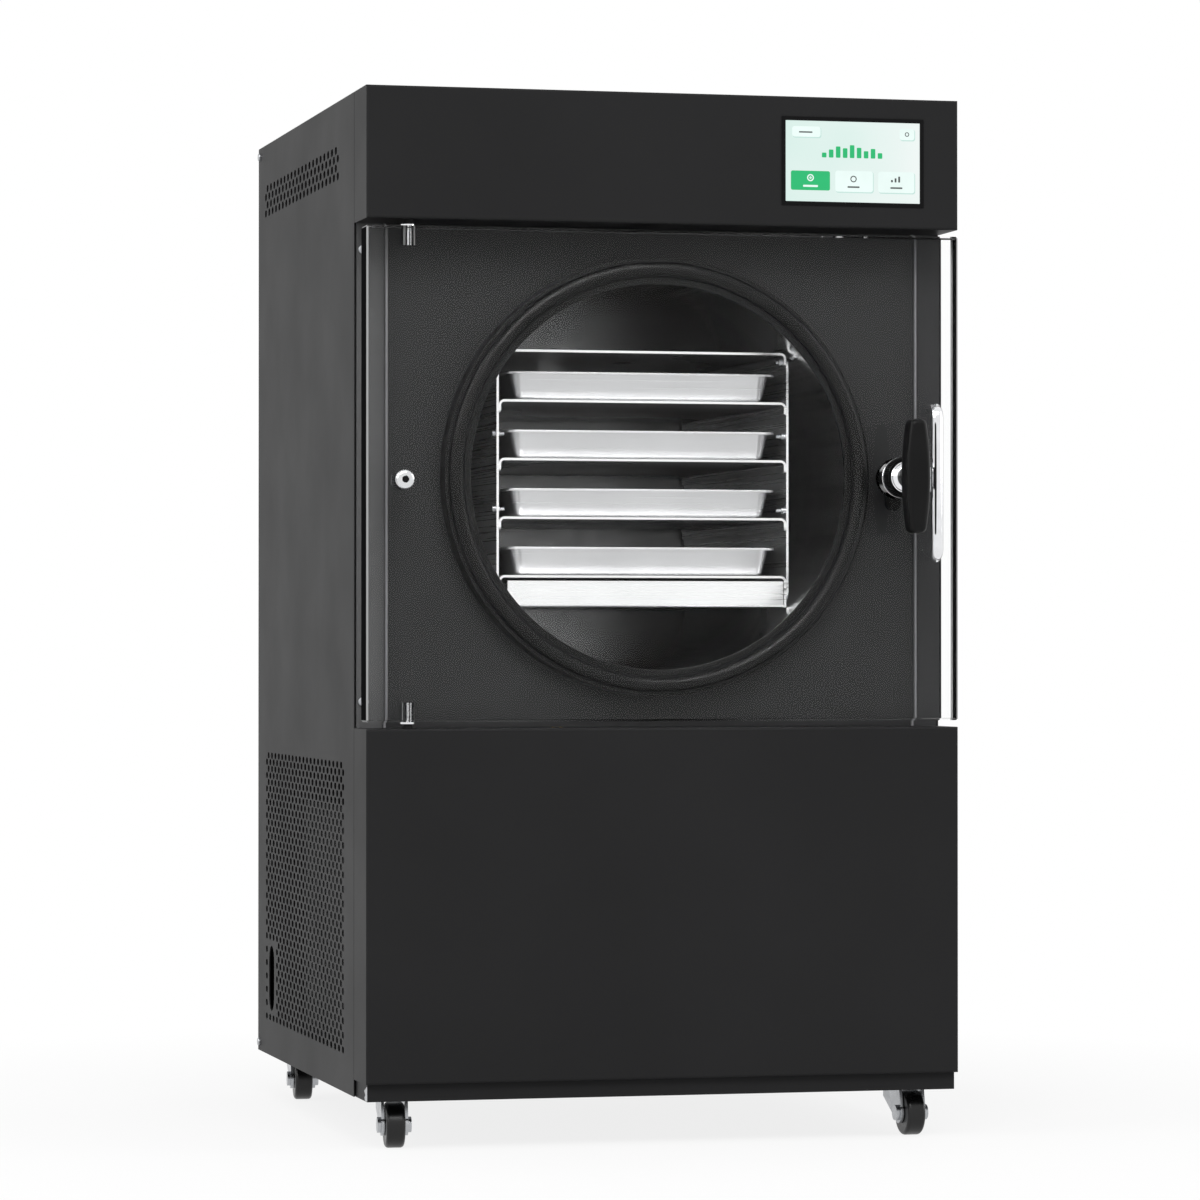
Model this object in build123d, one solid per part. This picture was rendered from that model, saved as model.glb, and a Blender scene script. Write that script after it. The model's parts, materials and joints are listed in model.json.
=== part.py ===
from build123d import *
import math
import os

# ---------------------------------------------------------------------------
# Bench-top freeze dryer on casters. Millimetres, +Z up, front towards -Y.
# Origin: on the floor, under the centre of the whole machine's outer box.
# ---------------------------------------------------------------------------

# Driving sizes of the cabinet
WIDTH = 510.0
BODY_DEPTH = 480.0
FRONT_BOX_DEPTH = 55.0
PAN_HEIGHT = 14.5
LOWER_PANEL_HEIGHT = 292.5
DOOR_SPACE = 421.3
HEADER_HEIGHT = 109.7
SHEET = 1.5
SIDE_SHEET = 2.0
FRONT_PLATE_SHEET = 2.5
SEAM = 1.0
SEAT_GAP = 0.3
PANEL_EDGE_RADIUS = 2.0
FLANGE_WIDTH = 12.0
PAN_FRONT_SETBACK = 6.0
REAR_REACH = 40.0
POST_WIDTH = 31.0
POST_DEPTH = 30.0
PLATE_OVERLAP = 9.0

# Driving sizes of the door and its latch
DOOR_THICKNESS = 25.0
DOOR_GAP = 5.7
DOOR_BEVEL = 1.5
HINGE_INSET = 37.0
HINGE_PIN_RADIUS = 3.0
RUNNING_CLEARANCE = 0.05
BUSHING_RADIUS = 5.5
BUSHING_DEPTH = 16.0
BUSHING_FLANGE_RADIUS = 6.4
BUSHING_FLANGE = 1.6
HINGE_PLATE = 3.0
HINGE_PLATE_WIDTH = 44.0
HINGE_PLATE_OVERHANG = 9.0
HINGE_FLANGE_HEIGHT = 28.0
HINGE_SHOULDER_RADIUS = 4.2
LATCH_INSET = 50.3
KNOB_LENGTH = 95.0
KNOB_MIDDLE_WIDTH = 21.0
KNOB_END_WIDTH = 13.0
KNOB_DEPTH = 18.0
KNOB_FRONT_REACH = 51.0
KNOB_CORNER_RADIUS = 5.0
KNOB_FRONT_ROUND = 4.0
KNOB_REAR_ROUND = 1.5
KNOB_BOSS_RADIUS = 9.5
SPINDLE_RADIUS = 6.0
COLLAR_RADIUS = 13.2
COLLAR_LENGTH = 4.8
COLLAR_ROUND = 2.7
HUB_RADIUS = 17.2
HUB_NUT = 14.5
HUB_NUT_ROUND = 1.0
HUB_BARREL_RADIUS = 15.5
HUB_WASHER_RADIUS = 17.0
HUB_WASHER = 3.0
PAWL_THICKNESS = 4.0
PAWL_LENGTH = 27.5
PAWL_WIDTH = 13.0
KEEPER_SHEET = 3.0
KEEPER_HEIGHT = 20.0
KEEPER_LIP = 14.0
KEEPER_FOOT = 14.0
KEEPER_STAND_OFF = 3.0
HANDLE_INSET = 24.0
HANDLE_SPACING = 124.0
HANDLE_REACH = 17.0
HANDLE_DROP = 4.5
HANDLE_BAR_RADIUS = 5.2
HANDLE_BEND_RADIUS = 8.0
BOLT_INSET = 32.0
BOLT_DROP = 4.7
BOLT_HEAD_RADIUS = 8.2
BOLT_HEAD_HEIGHT = 4.6
BOLT_HEAD_ROUND = 3.45
BOLT_RADIUS = 5.0
BOLT_SOCKET_RADIUS = 3.4
BOLT_SOCKET_DEPTH = 2.6
BOLT_NUT_RADIUS = 8.5
BOLT_NUT_HEIGHT = 6.0

# Driving sizes of the chamber, its gasket and insulation
CHAMBER_BORE_RADIUS = 167.0
CHAMBER_WALL = 3.0
CHAMBER_DEPTH = 385.0
CHAMBER_END_PLATE = 5.0
CHAMBER_NOSE = 19.5
CHAMBER_FLANGE_RADIUS = 205.0
CHAMBER_FLANGE = 5.0
GASKET_RADIUS = 184.4
GASKET_LIP_RADIUS = 162.0
GASKET_SHOULDER = 21.0
GASKET_LIP_STEP = 1.5
GASKET_ROUND = 0.7
GASKET_BEAD_RADIUS = 6.5
GASKET_BEAD_CENTRE = 174.5
COIL_TUBE_RADIUS = 4.0
COIL_PITCH = 33.0
COIL_TURNS = 10
COIL_START = 20.0
FOAM_THICKNESS = 20.0
FOAM_CLEARANCE = 1.5
FOAM_END_GAP = 6.0

# Driving sizes of the rack and trays
RACK_HEIGHT = 218.0
RACK_DEPTH = 346.0
RACK_SETBACK = 33.0
RACK_SHEET = 2.0
RACK_CORNER_RADIUS = 12.0
RACK_SIDE_CLEARANCE = 1.2
RACK_BASE_HEIGHT = 22.0
RACK_BASE_FLANGE = 15.0
RACK_BASE_FORWARD = 10.0
RACK_BASE_END_GAP = 5.5
RACK_BASE_BEND = 1.8
SHELF_COUNT = 4
SHELF_PITCH = 49.6
SHELF_BEND_RADIUS = 5.0
SHELF_FLANGE = 11.0
SHELF_FLANGE_CORNER = 3.0
FIRST_SHELF_ABOVE_BASE = 26.8
TRAY_SIDE_GAP = 6.1
TRAY_SETBACK = 3.0
TRAY_DEPTH = 340.0
TRAY_HEIGHT = 24.0
TRAY_SHEET = 1.0
TRAY_RIM = 3.4
TRAY_RIM_HEIGHT = 2.2
TRAY_RIM_ROUND = 1.0
TRAY_TAPER = 14.0
TRAY_CORNER_RADIUS = 6.0
TRAY_FOOT_RADIUS = 4.0
RACK_SCREW_RADIUS = 1.6
RACK_SCREW_INSIDE = 6.6
RACK_SCREW_HEAD_RADIUS = 2.9
RACK_SCREW_HEAD = 1.8
RACK_NUT_RADIUS = 2.9
RACK_NUT = 2.2
RACK_SCREW_INSET = 10.0
RACK_SCREW_TOP_DROP = 7.8
RACK_SCREW_PITCH = 63.6
RACK_SCREW_ROWS = 3

# Driving sizes of the screen and the electronics behind it
SCREEN_WIDTH = 121.0
SCREEN_HEIGHT = 71.0
SCREEN_FRAME = 1.8
SCREEN_DEPTH = 7.0
SCREEN_INSET = 93.0
SCREEN_TOP_MARGIN = 17.0
BEZEL_PROUD = 0.8
BOARD_THICKNESS = 1.6
BOARD_MARGIN = 8.0
CHIP_SIZE = 18.0
CHIP_HEIGHT = 2.0
RELAY_WIDTH = 14.0
RELAY_LENGTH = 18.0
RELAY_HEIGHT = 14.0
RELAY_DROP = 12.0
RELAY_PLACES = (-45.0, -27.0, 30.0, 48.0)

# Vents of the side panels
VENT_SLOT_LENGTH = 10.0
VENT_SLOT_HEIGHT = 6.6
VENT_COLUMN_PITCH = 18.2
VENT_ROW_PITCH = 7.5
UPPER_VENT_FRONT = 76.0
UPPER_VENT_TOP_DROP = 40.9
UPPER_VENT_COLUMNS = 21
UPPER_VENT_ROWS = 4
HOSE_SLOT_WIDTH = 27.0
HOSE_SLOT_HEIGHT = 60.0
HOSE_SLOT_FROM_FRONT = 406.0
HOSE_SLOT_RISE = 71.0

# Casters
WHEEL_RADIUS = 19.0
WHEEL_WIDTH = 16.0
WHEEL_EDGE_RADIUS = 3.0
AXLE_RADIUS = 4.0
AXLE_HEAD_RADIUS = 6.5
AXLE_HEAD = 3.0
FORK_SHEET = 2.5
FORK_SIDE_GAP = 0.7
FORK_WHEEL_GAP = 6.0
FORK_CROWN_HALF = 20.0
FORK_SKIRT = 14.0
FORK_EYE_RADIUS = 9.0
FORK_TANGENT_X = 0.8
FORK_TANGENT_Z = 0.6
SWIVEL_HEAD_RADIUS = 19.0
SWIVEL_HEAD_HEIGHT = 4.7
KINGPIN_RADIUS = 5.0
CASTER_TRAIL = 18.0
CASTER_PLATE = 2.5
CASTER_PLATE_SIZE = 44.0
CASTER_INSET = 32.0
CASTER_FRONT = 0.0
CASTER_REAR = 434.0
CASTER_BOLT_RADIUS = 3.0
CASTER_BOLT_HEAD = 2.0
CASTER_BOLT_INSET = 6.0

# Refrigeration and services
COMPRESSOR_RADIUS = 74.0
COMPRESSOR_HEIGHT = 165.0
COMPRESSOR_DOME = 26.0
COMPRESSOR_X = 95.0
COMPRESSOR_FROM_FRONT = 300.0
COMPRESSOR_PLATE = 3.0
COMPRESSOR_PLATE_SIZE = 176.0
TERMINAL_COVER_REACH = 18.0
TERMINAL_COVER_SUNK = 12.0
TERMINAL_COVER_WIDTH = 52.0
TERMINAL_COVER_HEIGHT = 50.0
TERMINAL_COVER_RISE = 60.0
GROMMET_RADIUS = 11.0
GROMMET_HEIGHT = 14.0
GROMMET_INSET = 14.0
CONDENSER_THICKNESS = 36.0
CONDENSER_LENGTH = 260.0
CONDENSER_HEIGHT = 210.0
CONDENSER_WALL_GAP = 14.0
CONDENSER_FROM_FRONT = 60.0
CONDENSER_FOOT = 12.0
CONDENSER_FOOT_INSET = 20.0
CONDENSER_FOOT_WIDTH = 16.0
CONDENSER_BENDS = 6
CONDENSER_BEND_RADIUS = 10.5
SHROUD_SHEET = 2.0
SHROUD_DEPTH = 30.0
SHROUD_WALL = 8.0
FAN_RADIUS = 88.0
FAN_TIP_GAP = 4.0
FAN_BLADES = 5
FAN_BLADE_PITCH = 28.0
FAN_BLADE_WIDTH = 46.0
FAN_BLADE_SHEET = 2.0
FAN_BLADE_CORNER = 12.0
FAN_BLADE_ROOT = 4.0
FAN_HUB_RADIUS = 24.0
FAN_HUB_LENGTH = 16.0
FAN_HUB_ROUND = 4.0
FAN_MOTOR_RADIUS = 30.0
FAN_MOTOR_LENGTH = 46.0
FAN_SHAFT_RADIUS = 4.0
FAN_STRUT_WIDTH = 9.0
FAN_STRUT_LAP = 6.0
LINE_RADIUS = 4.0
LINE_BEND_RADIUS = 22.0
SUCTION_STAND_OFF = 28.6
VACUUM_TUBE_RADIUS = 14.0
VACUUM_BORE_RADIUS = 12.0
VACUUM_FLANGE_RADIUS = 20.0
VACUUM_FLANGE = 3.0
VACUUM_PORT_RISE = 100.0
VACUUM_REACH = 25.0
PORT_HOLE_CLEARANCE = 1.5
DRAIN_RADIUS = 6.0
DRAIN_BORE_RADIUS = 4.5
DRAIN_FROM_FRONT = 350.0
DRAIN_DROP = 62.0
DRAIN_BEND_RADIUS = 20.0
VALVE_RADIUS = 13.0
VALVE_START = 2.0
VALVE_LENGTH = 24.0
VALVE_STEM_RADIUS = 3.0
VALVE_STEM_HEIGHT = 9.0
VALVE_SEAT = 8.0
LEVER_LENGTH = 42.0
LEVER_WIDTH = 10.0
LEVER_THICKNESS = 3.0
LEVER_COLLAR_RADIUS = 7.0
LEVER_END_RADIUS = 4.5
INLET_WIDTH = 28.0
INLET_HEIGHT = 22.0
INLET_DEPTH = 26.0
INLET_FLANGE = 2.0
INLET_FLANGE_MARGIN = 4.0
INLET_WALL = 2.0
INLET_CAVITY = 18.0
INLET_BLADE_WIDTH = 2.0
INLET_BLADE_HEIGHT = 4.0
INLET_BLADE_SETBACK = 3.0
INLET_BLADES = ((-7.0, -4.0), (7.0, -4.0), (0.0, 4.0))
INLET_INSET = 75.0
INLET_RISE = 60.0
SCREW_HEAD_RADIUS = 3.6
SCREW_HEAD = 2.0
SCREW_HEAD_ROUND = 0.9
SCREW_INSET = 8.0
POST_SCREW_INSET = 5.0
POST_SCREW_RISE = 22.0

# Worked-out heights, from the casters up
AXLE_Z = WHEEL_RADIUS
FORK_CROWN_HEIGHT = 2 * WHEEL_RADIUS + FORK_WHEEL_GAP
FORK_CROWN_TOP = FORK_CROWN_HEIGHT + FORK_SHEET
SWIVEL_HEAD_TOP = FORK_CROWN_TOP + SWIVEL_HEAD_HEIGHT
CASTER_PLATE_BOTTOM = SWIVEL_HEAD_TOP + SEAT_GAP
PAN_FLOOR_UNDERSIDE = CASTER_PLATE_BOTTOM + CASTER_PLATE
PAN_TOP = PAN_FLOOR_UNDERSIDE + SHEET
PAN_BOTTOM = PAN_TOP - PAN_HEIGHT
LOWER_TOP = PAN_TOP + LOWER_PANEL_HEIGHT
HEADER_BOTTOM = LOWER_TOP + DOOR_SPACE
TOP = HEADER_BOTTOM + HEADER_HEIGHT
CENTRE_Z = (LOWER_TOP + HEADER_BOTTOM) / 2
DOOR_BOTTOM = LOWER_TOP + DOOR_GAP
DOOR_TOP = HEADER_BOTTOM - DOOR_GAP
BOLT_Z = CENTRE_Z - BOLT_DROP

# Worked-out places across the width
HALF = WIDTH / 2
INNER_HALF = HALF - SIDE_SHEET
HINGE_X = HINGE_INSET - HALF
LATCH_X = HALF - LATCH_INSET
HANDLE_X = HALF - HANDLE_INSET
BOLT_X = BOLT_INSET - HALF
SCREEN_X = HALF - SCREEN_INSET
CASTER_X = HALF - CASTER_INSET
INLET_X = INLET_INSET - HALF
POST_INNER = INNER_HALF - POST_WIDTH
PLATE_HALF = POST_INNER + PLATE_OVERLAP

# Worked-out places from front to back
BODY_Y = (FRONT_BOX_DEPTH + KNOB_FRONT_REACH - BODY_DEPTH - REAR_REACH) / 2
REAR_Y = BODY_Y + BODY_DEPTH
DOOR_FRONT = BODY_Y - FRONT_BOX_DEPTH
DOOR_REAR = DOOR_FRONT + DOOR_THICKNESS
HINGE_Y = (DOOR_FRONT + DOOR_REAR) / 2
KNOB_REAR = DOOR_FRONT - KNOB_FRONT_REACH + KNOB_DEPTH
KNOB_MIDDLE_Y = KNOB_REAR - KNOB_DEPTH / 2
PAWL_FRONT = DOOR_REAR + HUB_WASHER + SEAT_GAP + KEEPER_SHEET
PLATE_FRONT = BODY_Y - FRONT_PLATE_SHEET
NOSE_Y = BODY_Y - CHAMBER_NOSE
CHAMBER_OUTER_RADIUS = CHAMBER_BORE_RADIUS + CHAMBER_WALL
CHAMBER_END = BODY_Y + CHAMBER_DEPTH + CHAMBER_END_PLATE
FOAM_BORE_RADIUS = CHAMBER_OUTER_RADIUS + 2 * COIL_TUBE_RADIUS + 2 * SEAT_GAP + FOAM_CLEARANCE
FOAM_RADIUS = FOAM_BORE_RADIUS + FOAM_THICKNESS
FOAM_END = CHAMBER_END + FOAM_END_GAP + FOAM_THICKNESS

# Worked-out places inside the rack
RACK_FRONT = BODY_Y + RACK_SETBACK
RACK_REAR = RACK_FRONT + RACK_DEPTH
RACK_BOTTOM = CENTRE_Z - RACK_HEIGHT / 2
RACK_TOP = RACK_BOTTOM + RACK_HEIGHT
RACK_SEAT_RADIUS = CHAMBER_BORE_RADIUS - SEAT_GAP
SHELF_HALF = math.sqrt(RACK_SEAT_RADIUS ** 2 - (CENTRE_Z - RACK_BOTTOM) ** 2)
RACK_HALF = SHELF_HALF + RACK_SHEET
RACK_SIDE_REACH = math.sqrt(RACK_SEAT_RADIUS ** 2 - RACK_HALF ** 2) - RACK_SIDE_CLEARANCE
TRAY_WIDTH = 2 * (SHELF_HALF - RACK_SHEET - TRAY_SIDE_GAP)
RACK_SCREW_HEIGHTS = [
    RACK_TOP - RACK_SCREW_TOP_DROP - row * RACK_SCREW_PITCH
    for row in range(RACK_SCREW_ROWS)
]
FIRST_SHELF_TOP = RACK_BOTTOM + FIRST_SHELF_ABOVE_BASE

# Worked-out places of the screen
SCREEN_FRONT = DOOR_FRONT
SCREEN_TOP = TOP - SCREEN_TOP_MARGIN
SCREEN_CENTRE_Z = SCREEN_TOP - SCREEN_FRAME - SCREEN_HEIGHT / 2

# Worked-out places of the casters: name, x, y, heading of the trailing wheel in degrees
CASTERS = [
    ("front_left", -CASTER_X, BODY_Y + CASTER_FRONT, -95.0),
    ("front_right", CASTER_X, BODY_Y + CASTER_FRONT, -88.0),
    ("rear_left", -CASTER_X, BODY_Y + CASTER_REAR, -95.0),
    ("rear_right", CASTER_X, BODY_Y + CASTER_REAR, -95.0),
]

# Worked-out places of the machinery
COMPRESSOR_Y = BODY_Y + COMPRESSOR_FROM_FRONT
COMPRESSOR_BASE = PAN_TOP + GROMMET_HEIGHT
CONDENSER_LEFT = -INNER_HALF + CONDENSER_WALL_GAP
CONDENSER_RIGHT = CONDENSER_LEFT + CONDENSER_THICKNESS
CONDENSER_Y = BODY_Y + CONDENSER_FROM_FRONT + CONDENSER_LENGTH / 2
CONDENSER_BOTTOM = PAN_TOP + CONDENSER_FOOT
CONDENSER_TOP = CONDENSER_BOTTOM + CONDENSER_HEIGHT
FAN_Z = CONDENSER_BOTTOM + CONDENSER_HEIGHT / 2
FAN_X = CONDENSER_RIGHT + SHROUD_DEPTH / 2
FAN_BLADE_REACH = (FAN_BLADE_WIDTH * math.sin(math.radians(FAN_BLADE_PITCH)) + FAN_BLADE_SHEET) / 2
FAN_MOTOR_START = FAN_X + FAN_BLADE_REACH + SEAM
VACUUM_Z = CENTRE_Z + VACUUM_PORT_RISE
DRAIN_Y = BODY_Y + DRAIN_FROM_FRONT
DRAIN_Z = CENTRE_Z - CHAMBER_OUTER_RADIUS - DRAIN_DROP
VALVE_Y = REAR_Y + VALVE_START + VALVE_LENGTH / 2
VALVE_STEM_TOP = DRAIN_Z + VALVE_RADIUS + VALVE_STEM_HEIGHT
INLET_Z = PAN_TOP + INLET_RISE


# ---------------------------------------------------------------------------
# Small shared shapes
# ---------------------------------------------------------------------------

def block(x0, x1, y0, y1, z0, z1):
    centre = Pos((x0 + x1) / 2, (y0 + y1) / 2, (z0 + z1) / 2)
    return centre * Box(x1 - x0, y1 - y0, z1 - z0)


def rod_x(radius, x0, x1, y, z):
    return Pos((x0 + x1) / 2, y, z) * Rot(0, 90, 0) * Cylinder(radius, x1 - x0)


def rod_y(radius, y0, y1, x, z):
    return Pos(x, (y0 + y1) / 2, z) * Rot(90, 0, 0) * Cylinder(radius, y1 - y0)


def rod_z(radius, z0, z1, x, y):
    return Pos(x, y, (z0 + z1) / 2) * Cylinder(radius, z1 - z0)


def tube_along(points, bend_radius, radius):
    """A round bar that follows straight runs joined by tangent bends."""
    path = FilletPolyline(*points, radius=bend_radius)
    start = Plane(origin=path @ 0, z_dir=path % 0)
    return sweep(start * Circle(radius), path=path)


def open_box(x0, x1, y0, y1, z0, z1, open_side):
    """A folded sheet box with one side missing: "back" or "bottom"."""
    outer = block(x0, x1, y0, y1, z0, z1)
    if open_side == "back":
        inner = block(x0 + SHEET, x1 - SHEET, y0 + SHEET, y1 + SHEET, z0 + SHEET, z1 - SHEET)
    else:
        inner = block(x0 + SHEET, x1 - SHEET, y0 + SHEET, y1 - SHEET, z0 - SHEET, z1 - SHEET)
    return outer - inner


def one_solid(shape):
    return shape.solids()[0] if len(shape.solids()) == 1 else shape


# ---------------------------------------------------------------------------
# Cabinet
# ---------------------------------------------------------------------------

def base_pan():
    front = DOOR_FRONT + PAN_FRONT_SETBACK
    rear = REAR_Y - SHEET
    return open_box(-INNER_HALF, INNER_HALF, front, rear, PAN_BOTTOM, PAN_TOP, "bottom")


def vent_centres(first_y, first_z, columns, rows):
    """Slot centres of one staggered field, as distances from the body's front plane."""
    for row in range(rows):
        shift = VENT_COLUMN_PITCH / 2 if row % 2 else 0.0
        count = columns - 1 if row % 2 else columns
        for column in range(count):
            yield first_y + shift + column * VENT_COLUMN_PITCH, first_z + row * VENT_ROW_PITCH


def side_panel(side):
    """A flat perforated side: side is -1 for the left, +1 for the right."""
    y0 = BODY_Y + SEAM
    outline = Pos((y0 + REAR_Y) / 2, (PAN_BOTTOM + TOP) / 2) * Rectangle(REAR_Y - y0, TOP - PAN_BOTTOM)
    hose_y = BODY_Y + HOSE_SLOT_FROM_FRONT
    hose_z = PAN_BOTTOM + HOSE_SLOT_RISE
    vent = SlotOverall(VENT_SLOT_LENGTH, VENT_SLOT_HEIGHT).wire()
    upper_z = TOP - UPPER_VENT_TOP_DROP - (UPPER_VENT_ROWS - 1) * VENT_ROW_PITCH
    centres = vent_centres(BODY_Y + UPPER_VENT_FRONT, upper_z, UPPER_VENT_COLUMNS, UPPER_VENT_ROWS)
    holes = []
    if side < 0:
        hose = Rot(0, 0, 90) * SlotOverall(HOSE_SLOT_HEIGHT, HOSE_SLOT_WIDTH)
        holes.append((Pos(hose_y, hose_z) * hose).wire())
    holes += [vent.moved(Location((y, z, 0))) for y, z in centres]
    face = Face(outline.wire(), holes)
    x0 = -HALF if side < 0 else INNER_HALF
    return Pos(x0, 0, 0) * extrude(Plane.YZ * face, SIDE_SHEET, clean=False)


def rear_panel():
    panel = block(-INNER_HALF, INNER_HALF, REAR_Y - SHEET, REAR_Y, PAN_BOTTOM, TOP - SHEET)
    for side in (-1, 1):
        inner = side * (INNER_HALF - SHEET)
        x0, x1 = sorted((inner, side * INNER_HALF))
        flange_front = REAR_Y - SHEET - FLANGE_WIDTH
        panel += block(x0, x1, flange_front, REAR_Y - SHEET, PAN_TOP, TOP - SHEET - FLANGE_WIDTH)
    through = (REAR_Y - 2 * SHEET, REAR_Y + SHEET)
    panel -= rod_y(VACUUM_TUBE_RADIUS + PORT_HOLE_CLEARANCE, *through, 0, VACUUM_Z)
    panel -= rod_y(DRAIN_RADIUS + PORT_HOLE_CLEARANCE, *through, 0, DRAIN_Z)
    panel -= block(
        INLET_X - INLET_WIDTH / 2, INLET_X + INLET_WIDTH / 2, *through,
        INLET_Z - INLET_HEIGHT / 2, INLET_Z + INLET_HEIGHT / 2,
    )
    return panel


def top_panel():
    y0 = BODY_Y + SEAM
    y1 = REAR_Y
    panel = block(-INNER_HALF, INNER_HALF, y0, y1, TOP - SHEET, TOP)
    flange_front = BODY_Y + POST_DEPTH + SEAM
    flange_rear = REAR_Y - SHEET - FLANGE_WIDTH - SEAM
    for side in (-1, 1):
        inner = side * (INNER_HALF - SHEET)
        x0, x1 = sorted((inner, side * INNER_HALF))
        panel += block(x0, x1, flange_front, flange_rear, TOP - SHEET - FLANGE_WIDTH, TOP - SHEET)
    return panel


def rounded_front_box(z0, z1):
    """The sheet box of the header and of the lower front, open at the back."""
    box = block(-HALF, HALF, DOOR_FRONT, BODY_Y, z0, z1)
    front_edges = box.edges().group_by(Axis.Y)[0]
    box = fillet(front_edges, PANEL_EDGE_RADIUS)
    inner = block(-HALF + SHEET, HALF - SHEET, DOOR_FRONT + SHEET, BODY_Y + SHEET, z0 + SHEET, z1 - SHEET)
    return box - inner


def header_panel():
    panel = rounded_front_box(HEADER_BOTTOM, TOP)
    half_w = SCREEN_WIDTH / 2
    half_h = SCREEN_HEIGHT / 2
    panel -= block(
        SCREEN_X - half_w, SCREEN_X + half_w, DOOR_FRONT - SHEET, DOOR_FRONT + 2 * SHEET,
        SCREEN_CENTRE_Z - half_h, SCREEN_CENTRE_Z + half_h,
    )
    through = (HEADER_BOTTOM - SHEET, HEADER_BOTTOM + 2 * SHEET)
    panel -= rod_z(HINGE_PIN_RADIUS + SEAT_GAP, *through, HINGE_X, HINGE_Y)
    return panel


def lower_front_panel():
    panel = rounded_front_box(PAN_TOP, LOWER_TOP)
    panel -= rod_z(HINGE_PIN_RADIUS + SEAT_GAP, LOWER_TOP - 2 * SHEET, LOWER_TOP + SHEET, HINGE_X, HINGE_Y)
    return panel


def front_post(side):
    """A channel that stands on the base behind each side of the door."""
    z0 = PAN_TOP
    z1 = TOP - SHEET
    x_in = side * POST_INNER
    x_out = side * INNER_HALF
    x0, x1 = sorted((x_in, x_out))
    post = block(x0, x1, BODY_Y, BODY_Y + POST_DEPTH, z0, z1)
    back = BODY_Y + POST_DEPTH + SHEET
    post -= block(x0 + SHEET, x1 - SHEET, BODY_Y + SHEET, back, z0 - SHEET, z1 + SHEET)
    return post


def chamber_front_plate():
    plate = block(
        -PLATE_HALF, PLATE_HALF, PLATE_FRONT, BODY_Y,
        LOWER_TOP + SEAT_GAP, HEADER_BOTTOM - SEAT_GAP,
    )
    return plate - rod_y(CHAMBER_OUTER_RADIUS + SEAT_GAP, PLATE_FRONT - SHEET, BODY_Y + SHEET, 0, CENTRE_Z)


def cabinet_screw(x, y, z, axis):
    """Pan-head screw whose head stands out to the "front", the "left" or the "right"."""
    head = Cylinder(SCREW_HEAD_RADIUS, SCREW_HEAD, align=(Align.CENTER, Align.CENTER, Align.MIN))
    head = fillet(head.edges().sort_by(Axis.Z)[-1], SCREW_HEAD_ROUND)
    turns = {"front": Rot(90, 0, 0), "left": Rot(0, -90, 0), "right": Rot(0, 90, 0)}
    return Pos(x, y, z) * turns[axis] * head


def cabinet_screws():
    """Two on the hinge-side post, and two at the rear edge of each side panel."""
    screws = []
    for z in (LOWER_TOP + POST_SCREW_RISE, HEADER_BOTTOM - POST_SCREW_RISE):
        screws.append(cabinet_screw(POST_SCREW_INSET - INNER_HALF, BODY_Y, z, "front"))
    for z in (PAN_BOTTOM + SCREW_INSET, TOP - SCREW_INSET):
        screws.append(cabinet_screw(-HALF, REAR_Y - SCREW_INSET, z, "left"))
        screws.append(cabinet_screw(HALF, REAR_Y - SCREW_INSET, z, "right"))
    return Compound(children=[one_solid(s) for s in screws])


# ---------------------------------------------------------------------------
# Screen
# ---------------------------------------------------------------------------

def display_bezel():
    half_w = SCREEN_WIDTH / 2
    half_h = SCREEN_HEIGHT / 2
    lip = block(
        SCREEN_X - half_w - SCREEN_FRAME, SCREEN_X + half_w + SCREEN_FRAME,
        SCREEN_FRONT - BEZEL_PROUD, SCREEN_FRONT,
        SCREEN_CENTRE_Z - half_h - SCREEN_FRAME, SCREEN_CENTRE_Z + half_h + SCREEN_FRAME,
    )
    sleeve = block(
        SCREEN_X - half_w, SCREEN_X + half_w, SCREEN_FRONT, SCREEN_FRONT + SCREEN_DEPTH,
        SCREEN_CENTRE_Z - half_h, SCREEN_CENTRE_Z + half_h,
    )
    window = block(
        SCREEN_X - half_w + SHEET, SCREEN_X + half_w - SHEET,
        SCREEN_FRONT - 2 * BEZEL_PROUD, SCREEN_FRONT + SCREEN_DEPTH + SHEET,
        SCREEN_CENTRE_Z - half_h + SHEET, SCREEN_CENTRE_Z + half_h - SHEET,
    )
    return lip + sleeve - window


def display_screen():
    half_w = SCREEN_WIDTH / 2 - SHEET
    half_h = SCREEN_HEIGHT / 2 - SHEET
    return block(
        SCREEN_X - half_w, SCREEN_X + half_w, SCREEN_FRONT, SCREEN_FRONT + SCREEN_DEPTH,
        SCREEN_CENTRE_Z - half_h, SCREEN_CENTRE_Z + half_h,
    )


def control_board():
    half_w = SCREEN_WIDTH / 2 + BOARD_MARGIN
    half_h = SCREEN_HEIGHT / 2 + BOARD_MARGIN / 2
    y0 = SCREEN_FRONT + SCREEN_DEPTH
    board = block(
        SCREEN_X - half_w, SCREEN_X + half_w, y0, y0 + BOARD_THICKNESS,
        SCREEN_CENTRE_Z - half_h, SCREEN_CENTRE_Z + half_h,
    )
    y1 = y0 + BOARD_THICKNESS
    chip = Pos(SCREEN_X, y1 + CHIP_HEIGHT / 2, SCREEN_CENTRE_Z) * Box(CHIP_SIZE, CHIP_HEIGHT, CHIP_SIZE)
    relay_z = SCREEN_CENTRE_Z - RELAY_DROP - RELAY_LENGTH / 2
    relays = [
        Pos(SCREEN_X + x, y1 + RELAY_HEIGHT / 2, relay_z) * Box(RELAY_WIDTH, RELAY_HEIGHT, RELAY_LENGTH)
        for x in RELAY_PLACES
    ]
    return board + chip + relays


# ---------------------------------------------------------------------------
# Chamber
# ---------------------------------------------------------------------------

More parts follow.
